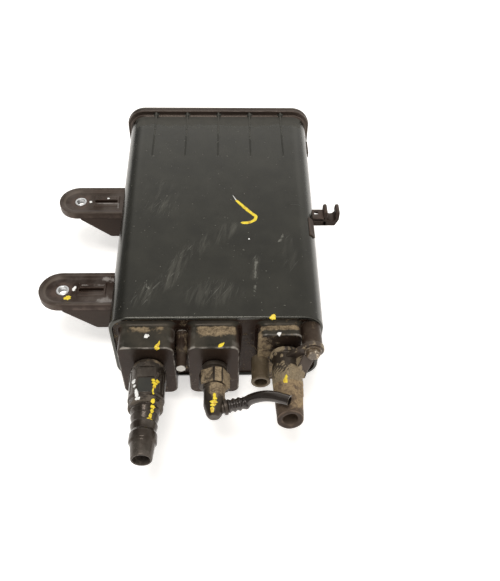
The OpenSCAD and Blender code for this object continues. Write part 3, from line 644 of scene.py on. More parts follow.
class CANISTER_OT_finishes(bpy.types.Operator):
    """Make the shared shader groups and the finishes"""
    bl_idname = "canister.finishes"
    bl_label = "Finishes"

    def execute(self, context):
        case, _, ports = looks()
        marks = context.scene.canister_paint
        for build in (make_scratches, make_dust, make_dirt, make_wear_and_highlight, make_grain):
            build()
        # on the case and its flange the edge tint also paints the highlight along their edges
        plastic("case_plastic", tuple(case.plastic), ports, rough=0.18, film=0.085, film_tint=(0.105, 0.1, 0.074),
                scratch=0.45, wear=0.5, shine=0.61, warm=(1.0, 0.98, 0.885), pale=(0.15, 0.147, 0.128),
                tan=(0.064, 0.061, 0.053), umber=(0.05, 0.048, 0.042), lump=0.0)
        plastic("dark_plastic", shade(case.plastic, 2.4), ports, rough=0.3, film=0.07, wear=0.2)
        # brown_plastic's upper tint, laid by the rub attribute, is dust and a painted highlight in the ears' rim
        # fillets
        plastic("brown_plastic", tuple(case.brown), ports, rough=0.36, film=0.45, film_tint=(0.18, 0.155, 0.14),
                wear=0.7, shine=0.2, warm=WARM, pale=(0.25, 0.23, 0.215), upper=(0.105, 0.084, 0.066))
        plastic("flange_plastic", (0.028, 0.0195, 0.0155), ports, rough=0.28, film=0.2, wear=0.8, warm=WARM)
        # port_plastic's pale edge tint is a painted highlight along the housings' front edges
        plastic("port_plastic", shade(case.brown, 1.1), ports, rough=0.27, film=0.22, wear=2.1, shine=0.16,
                upper=(0.025, 0.0243, 0.0195), warm=WARM, worn=(0.30, 0.275, 0.245))
        plastic("nipple_plastic", (0.07, 0.052, 0.03), ports, rough=0.5, film=0.2, wear=0.5, tan=(0.22, 0.17, 0.1),
                umber=(0.085, 0.065, 0.041), warm=WARM)
        plastic("connector_plastic", tuple(ports.black), ports, rough=0.17, film=0.36, wear=0.8, warm=WARM,
                film_tint=(0.2, 0.18, 0.157), tan=(0.135, 0.113, 0.09), umber=(0.075, 0.061, 0.048))
        plastic("dusty_plastic", tuple(ports.black), ports, rough=0.34, film=0.25, wear=0.5, warm=WARM)
        plastic("caked_plastic", tuple(ports.black), ports, rough=0.36, film=0.2, wear=0.4, grain=0.0002, warm=WARM,
                tan=(0.33, 0.26, 0.165), umber=(0.145, 0.112, 0.07), rims=2.6, upper=(0.042, 0.031, 0.026))
        plastic("stub_rubber", tuple(ports.rubber), ports, rough=0.55, film=0.15, wear=0.3, grain=0.0003, shine=0.12,
                tan=(0.36, 0.265, 0.15), umber=(0.175, 0.122, 0.08), warm=WARM, upper=(0.045, 0.033, 0.027))
        plastic("tube_nylon", (0.016, 0.0122, 0.0105), ports, rough=0.13, film=0.05, wear=0.03, grain=0.00004,
                shine=0.75, warm=(1.0, 0.92, 0.87))
        metal("zinc_plate", (0.88, 0.89, 0.90), (0.70, 0.70, 0.70), 0.3, pits=0.00004)
        metal("dirty_bolt", (0.55, 0.48, 0.38), (0.22, 0.16, 0.11), 0.25, (0.15, 0.105, 0.066), 0.8)
        paint("yellow_paint", tuple(marks.yellow), (0.58, 0.33, 0.03))
        paint("white_paint", tuple(marks.white), (0.8, 0.79, 0.76))
        speckled("seal_black", (0.03, 0.03, 0.03), (0.015, 0.015, 0.015), 300.0, 0.6)
        speckled("insert_brass", (0.70, 0.52, 0.22), (0.50, 0.35, 0.14), 500.0, 0.3, 1.0)
        speckled("carbon_pellets", (0.035, 0.035, 0.035), (0.006, 0.006, 0.006), 420.0, 0.75)
        speckled("felt_pad", (0.74, 0.73, 0.69), (0.58, 0.57, 0.53), 1300.0, 0.95)
        speckled("plate_black", (0.05, 0.05, 0.05), (0.03, 0.03, 0.03), 260.0, 0.5)
        speckled("spring_wire", (0.56, 0.56, 0.57), (0.38, 0.38, 0.39), 700.0, 0.3, 1.0)
        return {"FINISHED"}


class CANISTER_OT_inside(bpy.types.Operator):
    """Give the pieces inside the canister their finishes"""
    bl_idname = "canister.inside"
    bl_label = "Inside pieces"

    def execute(self, context):
        ends = {"seal": "seal_black", "insert": "insert_brass", "carbon": "carbon_pellets", "pad": "felt_pad",
                "plate": "plate_black", "left": "spring_wire", "right": "spring_wire", "spring": "spring_wire"}
        for name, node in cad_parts.items():
            finish = ends.get(name.rsplit("_", 1)[-1])
            if finish:
                node.data.materials.clear()
                node.data.materials.append(bpy.data.materials[finish])
        return {"FINISHED"}


# Where the case's top was rubbed: paths in plan, millimetres
RUB_BAND = [[-53, -100], [-46.7, -91], [-36.6, -84], [-26.8, -64.5], [-12.6, -47], [-1.5, -40], [10, -29]]
RUB_SMEAR = [[29.2, -61], [28, -79.5]]
RUB_SMEARS = [RUB_SMEAR, [[27.6, -88], [27, -97]], [[50.5, -36], [47.5, -43]], [[-51, -84], [-48, -90]]]


class CANISTER_OT_case(bpy.types.Operator):
    """Make the case's tapering body with its rim and ribs, its flange, its end wall and the weld flash"""
    bl_idname = "canister.case"
    bl_label = "Case"

    def execute(self, context):
        case, _, _ = looks()
        h, r, edge, long = mm(case.height), mm(case.corner), mm(case.rim), mm(case.long)
        a = np.linspace(0, np.pi / 2, 5)
        turn = np.stack([edge * (1 - np.cos(a)), edge * (1 - np.sin(a))], 1)
        inner = np.stack([WALL - 0.4 * np.cos(a), 0.4 * (1 - np.sin(a))], 1)[::-1]
        straight = np.stack([np.zeros(160), np.linspace(long + 1, edge + 0.3, 160)], 1)
        levels = np.concatenate([straight, turn, [[edge + 0.3, 0]], inner, [[WALL, 2.0]]])
        out = facing_ports()
        skin = [place(round_rect(2 * (half_width(case, y) - d), h - 2 * d, r - d, 14, 80) + [0, h / 2], -y, out)
                for d, y in levels]
        shell = Shell().rings(np.stack(skin))
        thick = 1.6  # a rib
        fin = soften([[long - 58, h - 1.4], [long + 1.5, h - 1.4], [long + 1.5, h + 4.7], [long - 6.6, h + 0.45],
                      [long - 58, h + 0.12]], 0.6)
        root = soften([[-3.4, 0.5], [-1.4, -0.9], [-0.8, -3.4], [0.8, -3.4], [1.4, -0.9], [3.4, 0.5]], 0.5)
        for x in np.arange(-2, 3) * mm(case.rib_pitch):
            side = axes((x - thick / 2, PORT_END, 0), (0, 1, 0), (0, 0, 1))
            shell.rings(block(fin, 0, thick, 0.3, side, r0=0.3, hold=0))
            shell.rings(block(root, h - 0.5, h + 2.8, 0.5, axes((x, PORT_END + long, 0), (1, 0, 0), (0, 1, 0))))

        def rub(p):
            """Rubbed places on the top: a band across it, a smear and loose patches."""
            x, y = p[:, 0], p[:, 1]
            band = step(-away_from(p, RUB_BAND), -10, -2)
            smear = 0.8 * step(-away_from(p, RUB_SMEAR), -4, -0.5)
            low = 0.7 * step(-np.hypot((x + 4) / 24, (y + 95) / 14), -1.2, -0.4)
            left = 0.7 * step(-np.hypot((x + 45) / 18, (y - 6) / 24), -1.2, -0.4)
            right = 0.4 * step(-np.hypot((x - 54) / 8, (y + 55) / 20), -1.2, -0.4)
            return np.max([band, smear, low, left, right], axis=0) * step(p[:, 2], h - 4, h - 1)

        def scuff(p):
            """Whitish smears on the top, and the ribs' tops paler at the flange."""
            smears = [0.58 * step(-away_from(p, way), -2.6, -0.2) for way in RUB_SMEARS]
            return np.max([*smears, 0.7 * step(p[:, 2], h + 0.8, h + 2.5)], axis=0) * (p[:, 2] > h - 0.5)

        def soil(p):
            """Dust that gathers at the flange's foot."""
            return 0.85 * step(p[:, 1], PORT_END + long - 24, PORT_END + long - 9) * step(p[:, 2], h - 6, h - 1)

        shell.make("case_body", "case_black", "case_plastic", ["case"], soil, scuff, rub)
        lip = round_rect(2 * (half_width(case, long) + mm(case.lip_side) - mm(case.flash)),
                         h + mm(case.lip_top) - 2 * mm(case.flash), r + 2.7, 14) + [0, (h + mm(case.lip_top)) / 2]
        flange = Shell().rings(block(lip, -long - 2.85, -long, 0.6, out, r0=0.3))
        foot = round_rect(2 * half_width(case, long), h, r, 14) + [0, h / 2]
        cove, under = 1.3, [-np.inf, -np.inf, 0.2]  # its radius, and how low it may reach, inside the case's skin
        bend = [place(inset(foot, -cove * (1 - math.sin(t))), cove * (1 - math.cos(t)) - long, out) for t in a]
        flange.rings(np.maximum(np.stack(bend), under))
        flange.make("case_flange", "case_black", "flange_plastic", ["case"])
        wall = round_rect(mm(case.width) - 2 * WALL - 0.1, h - 2 * WALL - 0.1, r - WALL, 14) + [0, h / 2]
        Shell().rings(block(wall, -4.0, -1.5, 0.1, out)).make(
            "end_wall", "case_black", "port_plastic", ["case"], lambda p: 0.27 + 0.12 * (p[:, 0] < -10))
        Shell().rings(lip_flash(case, lip, long), loop=True).make(
            "weld_flash", "case_black", "flange_plastic", ["case"])
        return {"FINISHED"}


def lip_flash(case, lip, long):
    """Weld flash between flange and cover: a half round of radius 0.32 carried round the lip, flat on its inside."""
    inside, r, out = 0.45, 0.32, facing_ports()
    turns = -np.linspace(0, 2 * np.pi, 9)[:-1]
    return np.stack([place(inset(lip, inside - (mm(case.flash) + inside) * max(math.cos(t), 0)),
                           -long - 3 + r * math.sin(t), out) for t in turns])


class CANISTER_OT_cover(bpy.types.Operator):
    """Make the welded end cover with its raised panel"""
    bl_idname = "canister.cover"
    bl_label = "End cover"

    def execute(self, context):
        case, _, _ = looks()
        h, long, top = mm(case.height), mm(case.long), mm(case.lip_top)
        wide = 2 * (half_width(case, long) + mm(case.lip_side))
        away = axes((0, PORT_END + long, 0), (-1, 0, 0), (0, 0, 1))
        lip = round_rect(wide - 2 * mm(case.flash), h + top - 2 * mm(case.flash), mm(case.corner) + 2.7, 14)
        panel = round_rect(wide - 20, h + top - 20, mm(case.corner) - 7, 10)
        shell = Shell().rings(block(lip + [0, (h + top) / 2], 3.15, 6, 0.8, away))
        shell.rings(block(panel + [0, (h + top) / 2], 5.5, 9, 1.2, away))
        shell.make("cover_plate", "case_black", "flange_plastic", ["end_cover"])
        return {"FINISHED"}


class CANISTER_OT_ears(bpy.types.Operator):
    """Make the two bolting ears with rim, slot, skirt and gussets, and their steel collars"""
    bl_idname = "canister.ears"
    bl_label = "Ears"

    def execute(self, context):
        case, ears, _ = looks()
        shell, s = Shell(), mm(ears.skirt)
        near = np.array([-half_width(case, mm(ears.place)) - mm(ears.reach), PORT_END + mm(ears.place),
                         mm(case.height) - mm(ears.drop)])
        tube = soften([[COLLAR_BORE, -s], [COLLAR_R, -s], [COLLAR_R, -1.7], [COLLAR_BORE, -1.7]], 0.35)
        for name, along_case in (("near", 0.0), ("far", mm(ears.pitch))):
            hole = axes(near + [0, along_case, 0], (1, 0, 0), (0, 1, 0))
            add_ear(shell, ears, hole)

            def bore(p, o=hole[0]):
                """Painted shade inside the collar's bore."""
                wide = np.hypot(p[:, 0] - o[0], p[:, 1] - o[1])
                return 1.0 * (wide < COLLAR_BORE + 0.2) * (p[:, 2] < o[2] - 2.2)

            Shell().rings(lathe(tube, hole, 48), loop=True).make(
                "collar_" + name, "zinc_steel", "zinc_plate", ["ear_collar_" + name], bore)

        def from_hole(p):
            """Which points are on the far ear, and their places from their own ear's bolt hole."""
            far = p[:, 1] - near[1] > mm(ears.pitch) / 2
            d = p - near
            return far, d[:, 0], d[:, 1] - mm(ears.pitch) * far, d[:, 2]

        def scuff(p):
            """Whitish scuffs on the near ear's floor and rim at its root, and lines beside both slots."""
            far, x, y, z = from_hole(p)
            low = 0.78 * step(-np.hypot((x - 32.4) / 9, (y + 10.0) / 5.5), -1.3, -0.2)
            high = 0.62 * step(-np.hypot((x - 33.4) / 8, (y - 10.0) / 4.5), -1.3, -0.2)
            row = np.hypot(np.maximum(np.abs(x - 23) - 9, 0), y - np.where(far, -2.9, 4.4))
            end = np.hypot(x - 31.8, np.maximum(np.abs(y + 5.2) - 2.3, 0)) + 9.0 * ~far
            lines = np.where(far, 0.66, 0.4) * step(-np.minimum(row, end), -1.0, -0.3) * (z < -0.6)
            return np.maximum(np.maximum(low, high) * ~far, lines) * (z > -3.5)

        def rub(p):
            """Dust and a painted highlight in each rim's round-end fillet, a film on the rims and the far ear's floor.
            """
            far, x, _, z = from_hole(p)
            # painted highlight mixed with dust, where the fillet faces the light
            dusty_highlight = 0.9 * step(-x, -3.4, 5.6) * step(z, -2.0, -1.6) * step(-z, 0.2, 0.9)
            film = np.where(z > -0.6, 0.2, 0.16 * far * (z > -2.5))
            return np.maximum(dusty_highlight, film)

        shell.make("case_ears", "case_black", "brown_plastic", ["case"], scuff=scuff, rub=rub)
        return {"FINISHED"}


def ear_outline(ears, d, end):
    """An ear's outline, inset by d but for the end in the case: half circle, two straight sides, straight end."""
    r = mm(ears.radius) - d
    a = np.linspace(np.pi / 2, 1.5 * np.pi, 37)
    x = np.linspace(-1.4, end, 14)
    y = np.linspace(-r, r, 14)
    arc = np.stack([-1.4 + r * np.cos(a), r * np.sin(a)], 1)
    low = np.stack([x[1:], np.full(13, -r)], 1)
    root = np.stack([np.full(12, end), y[1:-1]], 1)
    high = np.stack([x[:0:-1], np.full(13, r)], 1)
    return np.concatenate([arc, low, root, high])


def add_ear(shell, ears, ax):
    """Rim, fillet and skirt as rings of the outline, floor as a ring to the hole and a sheet with the slot in it."""
    end, rim, s = mm(ears.reach) + 1.4, mm(ears.rim), mm(ears.skirt)
    centre, floor, foot, seat = (0.0, 0.0), -2.0, rim + 2.2, COLLAR_R + 0.05
    a, t = np.linspace(0, np.pi / 2, 5), np.linspace(0, 1, 9)
    inner = ear_outline(ears, rim, end)
    outer = np.stack([0.7 * (1 - np.cos(a)), -0.7 * (1 - np.sin(a))], 1)
    fillet = np.stack([1.9 + (foot - 1.9) * t, floor * step(t, 0, 1)], 1)
    levels = np.concatenate([[[0.3, -s], [0, -s + 0.3]], outer, [[1.2, 0]], fillet])
    rings = [place(onto_circle(inner, centre, r), z, ax) for r, z in ((seat, -s), (7.8, -s), (7.8, floor - 3))]
    rings += [place(inner, floor - 3, ax), place(inner, -s, ax)]
    rings += [place(ear_outline(ears, d, end), z, ax) for d, z in levels]
    shell.rings(np.stack(rings), caps=False)
    head = ear_outline(ears, foot, 9.0)
    ring = onto_circle(head, centre, seat)
    shell.rings(np.stack([place(head, floor, ax), place(ring, floor, ax), place(ring, -s, ax)]), caps=False)
    half = mm(ears.radius) - foot
    x, y = np.meshgrid(np.linspace(9, end, 120), np.linspace(-half, half, 90), indexing="ij")
    slot = np.hypot(np.maximum(np.abs(x - 21.5) - 7.8, 0), np.maximum(np.abs(y) - 0.4, 0))
    pad = np.maximum(np.abs(x - 21.8) - 10.4, np.abs(y - 0.3) - 6.4)
    z = floor + 0.9 * step(-pad, -0.45, 0.45) - 2.8 * step(-slot, -1.7, -1.1)
    z = z - 0.35 * step(-np.abs(pad + 2.4), -0.6, -0.2) * (slot > 2.2)
    shell.patch(place(np.stack([x.ravel(), y.ravel()], 1), z.ravel(), ax).reshape(120, 90, 3))
    web = soften([[1, -s + 1], [1, -s - 1], [24, -27], [end, -27], [end, -s + 1]], 1.0)
    for y0 in (-mm(ears.radius), mm(ears.radius) - rim):
        o = ax[0] + (y0 + rim) * ax[2]
        shell.rings(block(web, 0, rim, 0.45, axes(o, (1, 0, 0), (0, 0, 1)), r0=0.45))


class CANISTER_OT_clip(bpy.types.Operator):
    """Make the pipe clip with its prongs, arm and web, the rest and the side lug"""
    bl_idname = "canister.clip"
    bl_label = "Pipe clip"

    def execute(self, context):
        case, _, _ = looks()
        wall, prong, tip = half_width(case, CLIP_Y), 4.85, 1.65
        out = facing_ports(wall, CLIP_Y + CLIP_LONG / 2, mm(case.height) - CLIP_DROP)
        a = np.linspace(np.radians(34), np.radians(-214), 25)
        t = np.linspace(0, np.pi, 9)
        bow = np.stack([PIPE_REACH + PIPE_R * np.cos(a), PIPE_R * np.sin(a)], 1)
        right, left = [np.stack([PIPE_REACH + side * prong + tip * np.cos(t), prong + tip * np.sin(t)], 1)
                       for side in (1, -1)]
        back = [[8.1, -8.5], [17.8, -8.5], [18.5, -8.0], [20.8, -2.6], [21.1, -2.0]]
        hook = np.concatenate([back, right, bow, left])
        shell = Shell().rings(block(hook, 0, CLIP_LONG, 0.45, out, r0=0.45, hold=0.2))
        flat = axes((wall, PORT_END + CLIP_Y, mm(case.height) - CLIP_DROP - 1.5), (1, 0, 0), (0, 1, 0))
        arm = soften([[-1.4, -5], [10, -5], [10, 5], [-1.4, 5]], 0.5)
        ring = onto_circle(arm, (2.4, 1.0), 2.2)
        edge = [place(inset(arm, d), z, flat) for d, z in ((0.3, 0), (0, 0.3), (0, 1.7), (0.3, 2.0))]
        shell.rings(np.stack([place(ring, 0, flat), *edge, place(ring, 2.0, flat)]), loop=True)
        web = soften([[-1.4, -8.5], [11, -8.5], [11, -3.5], [-1.4, -3.5]], 0.5)
        shell.rings(block(web, 6, CLIP_LONG, 0.3, out, r0=0.3))
        h, r = mm(case.height), mm(case.corner)
        lean = axes((half_width(case, 91) - r, PORT_END + 83, h - r), (0, 1, 0), (-0.643, 0, 0.766))
        shell.rings(block(soften([[0, -3], [19.5, -3], [19.5, 3], [0, 3]], 0.8), 12.4, 14.9, 0.4, lean))
        flat = axes((half_width(case, 204), PORT_END + 196, h - 18), (0, 1, 0), (0, 0, 1))
        shell.rings(block(soften([[0, 0], [16, 0], [16, 6], [0, 6]], 0.8), -1.4, 1.2, 0.4, flat))
        shell.make("case_clip", "case_black", "brown_plastic", ["case"])
        return {"FINISHED"}


class CANISTER_OT_ports(bpy.types.Operator):
    """Make the three port housings, their spigots, the peg, the bolt boss and the drain nipple"""
    bl_idname = "canister.ports"
    bl_label = "Port end"

    def execute(self, context):
        case, _, ports = looks()
        out, deep, shallow = facing_ports(), mm(ports.depth), mm(ports.vent_depth)
        roof = mm(case.height) - mm(ports.top)
        tall, middle = roof - mm(ports.foot), (roof + mm(ports.foot)) / 2
        shell, boss = Shell(), boss_axes(case, ports)
        cove, turns = 3.2, np.linspace(0, np.pi / 2, 7)[:-1]
        for x, w, d in ((-47.8, 38.5, deep), (-1.8, 35.3, deep), (44.5, 31, shallow)):
            form = round_rect(w, tall, 6, 8, 12) + [x, middle]
            foot = [place(inset(form, -cove * (1 - math.sin(a))), cove * (0.5 - math.cos(a)), out) for a in turns]
            walls = block(form, cove / 2, d, mm(ports.edge), out, r0=0.0, steps=5, mid=16)
            shell.rings(np.concatenate([foot, walls[6:]]))
        peg = [[6.8, -2], [5.2, 4], [4.3, 12], [3.7, 20], [3.3, 26.3], [2.9, 26.8], [2.4, 27]]
        shell.rings(lathe(along(peg, 4), facing_ports(PEG[0], 0, PEG[1]), 40))
        shell.rings(block(circle(7.0), -2, 17, 0.5, boss, mid=8))
        pipe = soften([[4.6, -2], [6.4, -2], [6.4, 15.4], [6.8, 16], [6.8, 17.6], [6.5, 18], [4.6, 18]], 0.3)
        Shell().rings(lathe(pipe, facing_ports(NIPPLE[0], -shallow, NIPPLE[1]), 48), loop=True).make(
            "case_nipple", "case_black", "nipple_plastic", ["case"], 0.42)
        for ax, r in ((tank_axes(case, ports), 7.9), (purge_axes(case, ports), 3.95), (vent_axes(case, ports), 5.9)):
            shell.rings(block(circle(r, 40), -1, 6, 0.2, ax))

        def soil(p):
            """Dirt on the back of the housings' tops, the vent housing's left, the peg and the boss; thin low down."""
            x, y, z = p[:, 0], p[:, 1] - PORT_END, p[:, 2]
            top = step(z - roof, -4.2, -0.5) * step(-y, 0.4, 2.6)
            tank = top * step(y, -11.5, -3.5) * step(-np.abs(x + 48), -18, -9) * 0.66
            purge = top * step(y, -15, -6) * step(-np.abs(x - 1), -18, -11) * 0.86
            vent = top * step(y, -7.5, -3.5) * step(-np.abs(x - 44), -16, -12)
            flank = 0.8 * step(-x, -33.5, -30) * step(x, 27, 29) * step(-y, 3, 6) * step(z, 14, 30)
            pin = 0.44 * (off(p, facing_ports(PEG[0], 0, PEG[1])) < 6.9) * step(y, -26, -12)
            stud = 0.37 * (off(p, boss) < 7.3)
            low = 0.3 * step(-z, -56, -20) + 0.26 * step(x, 26, 30)
            return np.max([tank, purge, vent, flank, pin, stud, low], axis=0)

        def tinted_tops(p):
            """The housings' tops, blacker than their fronts."""
            return step(p[:, 2] - roof, -2.2, -0.4) * (off(p, boss) > 7.4)

        def scuff(p):
            """The peg's bare tip."""
            return 1.0 * (off(p, facing_ports(PEG[0], 0, PEG[1])) < 3.25) * (p[:, 1] < PORT_END - 26.1)

        shell.make("case_ports", "case_black", "port_plastic", ["case"], soil, scuff, tinted_tops)
        return {"FINISHED"}


class CANISTER_OT_tank(bpy.types.Operator):
    """Make the tank connector with its flat pad, latch buttons and fir-tree, and its retainer"""
    bl_idname = "canister.tank"
    bl_label = "Tank connector"

    def execute(self, context):
        case, _, ports = looks()
        ax = tank_axes(case, ports)
        body = [[9.6, 5], [11.65, 5], *([12.25, far] for far in (5.6, 8.9, 9.1, 17.0, 17.3, 29.4, 29.7, 30.4))]
        ring = [[11.05, 31], [11.05, 32], [11.65, 32.4], [11.65, 36.4], [11.05, 37]]
        barbs = [[9.7, 37], [9.7, 39.2], [8.0, 41.8], [9.3, 42.6], [9.3, 43.6], [8.0, 47.6], [8.0, 48.4], [8.9, 49.1],
                 [8.9, 50.1], [8.0, 54.2], [9.1, 56.5], [9.1, 62], [8.0, 63.4], [6.9, 73.4], [6.5, 74]]
        bore = [[5.5, 74], [5.5, 25], [9.6, 25]]
        g = lathe(soften([*body, *ring, *barbs, *bore], 0.3), ax, 112)
        local = g - ax[0]
        across, up, far = local @ ax[1], local @ ax[2], local @ ax[3]
        flat, well = (far > 9.0) & (far < 30.45), (far > 17.1) & (far < 29.6) & (np.abs(across) < 5.4)
        cut = np.minimum(up, np.select([well, flat], [10.0, 10.65], np.inf))
        shell = Shell().rings(g + (cut - up)[..., None] * ax[2], loop=True)
        button = soften([[-1.5, -3], [6, -3], [6, 3], [-1.5, 3]], 0.5)
        for side in (-1, 1):
            shell.rings(block(button, 10.5, 12.55, 0.35, axes(ax[0] + 9 * ax[3], ax[3], side * ax[2])))
        ridge = soften([[-0.5, -6], [0.5, -6], [0.5, 12], [-0.5, 12]], 0.3)
        for a in np.radians([24, 41, 148]):
            strip = axes(ax[0] + 16 * ax[3], math.cos(a) * ax[2] - math.sin(a) * ax[1], ax[3])
            shell.rings(block(ridge, 11.6, 12.6, 0.25, strip, hold=0))

        def soil(p):
            """Dust round the connector's foot, over its body, on its step and in its mouth."""
            d = p - ax[0]
            s = d @ ax[3]
            film = 0.3 * step(d @ ax[2], -4, 8) * step(-s, -31, -27) + 0.1 * ripple(p, 5, 2)
            foot, ledge = 0.46 * step(-s, -8.5, -5.5), 0.6 * step(-np.abs(s - 35), -4.5, -2)
            return np.max([foot, ledge, film, 0.5 * (off(p, ax) < 5.8)], axis=0)

        shell.make("tank_fitting", "connector_black", "connector_plastic", ["tank_connector"], soil)
        slab = axes(ax[0] + 23.35 * ax[3], ax[3], ax[1])
        Shell().rings(block(round_rect(11.6, 10.2, 0.8, 4), 9.6, 10.3, 0.2, slab)).make(
            "tank_pad", "connector_black", "dark_plastic", ["tank_connector"])
        collar = soften([[8.05, 1.5], [10.4, 1.5], [10.9, 2.1], [10.9, 5], [9.5, 5], [9.5, 12.9], [8.05, 12.9]], 0.25)
        Shell().rings(lathe(collar, ax, 64), loop=True).make(
            "tank_latch", "retainer_dusty", "dusty_plastic", ["tank_retainer"], 0.42)
        return {"FINISHED"}


# The nylon tube's way past its bellows, from the end of the elbow's branch, millimetres
TUBE_WAY = [[15.4, 3.8, 2.2], [20, 3.2, 6.2], [25.5, 1.9, 9.8], [31.2, 0.1, 11.8], [36.7, -2.2, 12.9],
            [40.6, -4.2, 13.6]]


def cut_square(a, c, turn):
    """Square of half width a with its corners cut at a distance c: where each side's line meets the next cut's."""
    n = np.radians(turn + 45 * np.arange(8))
    d, m = np.tile([a, c], 4), np.roll(n, -1)
    e = np.roll(d, -1)
    return np.stack([d * np.sin(m) - e * np.sin(n), e * np.cos(n) - d * np.cos(m)], 1) / math.sin(np.pi / 4)


class CANISTER_OT_purge(bpy.types.Operator):
    """Make the purge elbow with its collar and branch, its retainer and the cut nylon tube"""
    bl_idname = "canister.purge"
    bl_label = "Purge elbow"

    def execute(self, context):
        case, _, ports = looks()
        ax = purge_axes(case, ports)
        nut = finer(soften(cut_square(9.3, 10.3, 28), 0.45), 8)
        shell = Shell().rings(block(nut, 6.9, 18, 0.5, ax, r0=0.6, mid=10))
        shell.rings(block(circle(8.8, 64), 4, 6.6, 0.4, ax, mid=2))
        shell.rings(block(circle(7.6, 64), 4, 10, 0.2, ax, mid=2))
        body = soften([[3.0, 16], [7.6, 16], [7.6, 20.6], [7.2, 21.2], [7.2, 32.2], [5.2, 38.8], [3.7, 40.8],
                       [0.05, 40.8], [0.05, 17]], 0.4)
        shell.rings(lathe(body, ax, 56), loop=True)
        lean, neck = math.radians(13), 8.8
        root = ax[0] + 34.5 * ax[3]
        branch = axes(root, (-math.sin(lean), math.cos(lean), 0), (0, 0, 1))
        spout = soften([[2.1, 0], [4.05, 0], [4.05, 6.3], [5.5, 6.5], [5.5, 8.6], [5.2, neck], [2.1, neck]], 0.3)
        shell.rings(lathe(spout, branch, 48), loop=True)

        def soil(p):
            """Tan dirt on the collar's facets, heavy on the right and thin on the left, which also paints their light
            and shade;
            a painted shadow line at two seams; the nose dirtier on its right than its left; the foot stays black.
            """
            d = p - ax[0]
            far = d @ ax[3]
            turn = np.degrees(np.arctan2(d[:, 2], d[:, 0]))
            # painted shadow along two seams between the facets
            seam_shadow = np.minimum(np.abs(turn - 89), np.abs(turn - 58)) < 2.0
            facets = np.select([seam_shadow, np.abs(turn - 73) < 16, np.abs(turn - 28) < 32, np.abs(turn - 118) < 30],
                               [0.02, 0.84, 1.0, 0.67], 0.25)
            facets = np.where(far > 6.8, facets, 0.1)
            nose = step(d[:, 0], -6, -1) * step(-far, -33, -24) + 0.14
            return np.where(far < 18.2, facets, np.maximum(nose, 0.85 * step(-far, -20.5, -19)))

        shell.make("purge_elbow", "purge_dusty", "dusty_plastic", ["purge_connector"], soil)
        collar = soften([[4.1, 1], [8.6, 1], [9.0, 1.6], [9.0, 4], [5.5, 4], [5.5, 10.8], [4.1, 10.8]], 0.25)
        Shell().rings(lathe(collar, ax, 56), loop=True).make(
            "purge_latch", "retainer_black", "dusty_plastic", ["purge_retainer"], 0.2)
        self.tube(root + neck * branch[3], branch[3])
        return {"FINISHED"}

    def tube(self, start, ahead):
        """Outer and inner skin swept along the tube's way, the outer's radius 3.7 + a sum of exp(-(s / 1.15)^2)."""
        straight = np.linspace(0, 12.4, 5)[:, None] * ahead
        path = start + along(np.concatenate([straight, TUBE_WAY]), 10)
        run = np.concatenate([[0], np.cumsum(np.linalg.norm(np.diff(path, axis=0), axis=1))])
        skin = 3.7 + sum(np.exp(-((run - s0) / 1.15) ** 2) for s0 in (1.2, 4.8, 8.4, 12.4))
        outer, inner = sweep(path, skin, skin, 28), sweep(path, 2.7, 2.7, 28)
        rim = outer[-1:] * 0.35 + inner[-1:] * 0.65
        g = np.concatenate([outer[:, ::-1], rim[:, ::-1], inner[::-1, ::-1]])
        Shell().rings(g, loop=True).make(
            "nylon_tube", "nylon_black", "tube_nylon", ["purge_tube"], lambda p: 0.3 * step(p[:, 0], 38, 46))


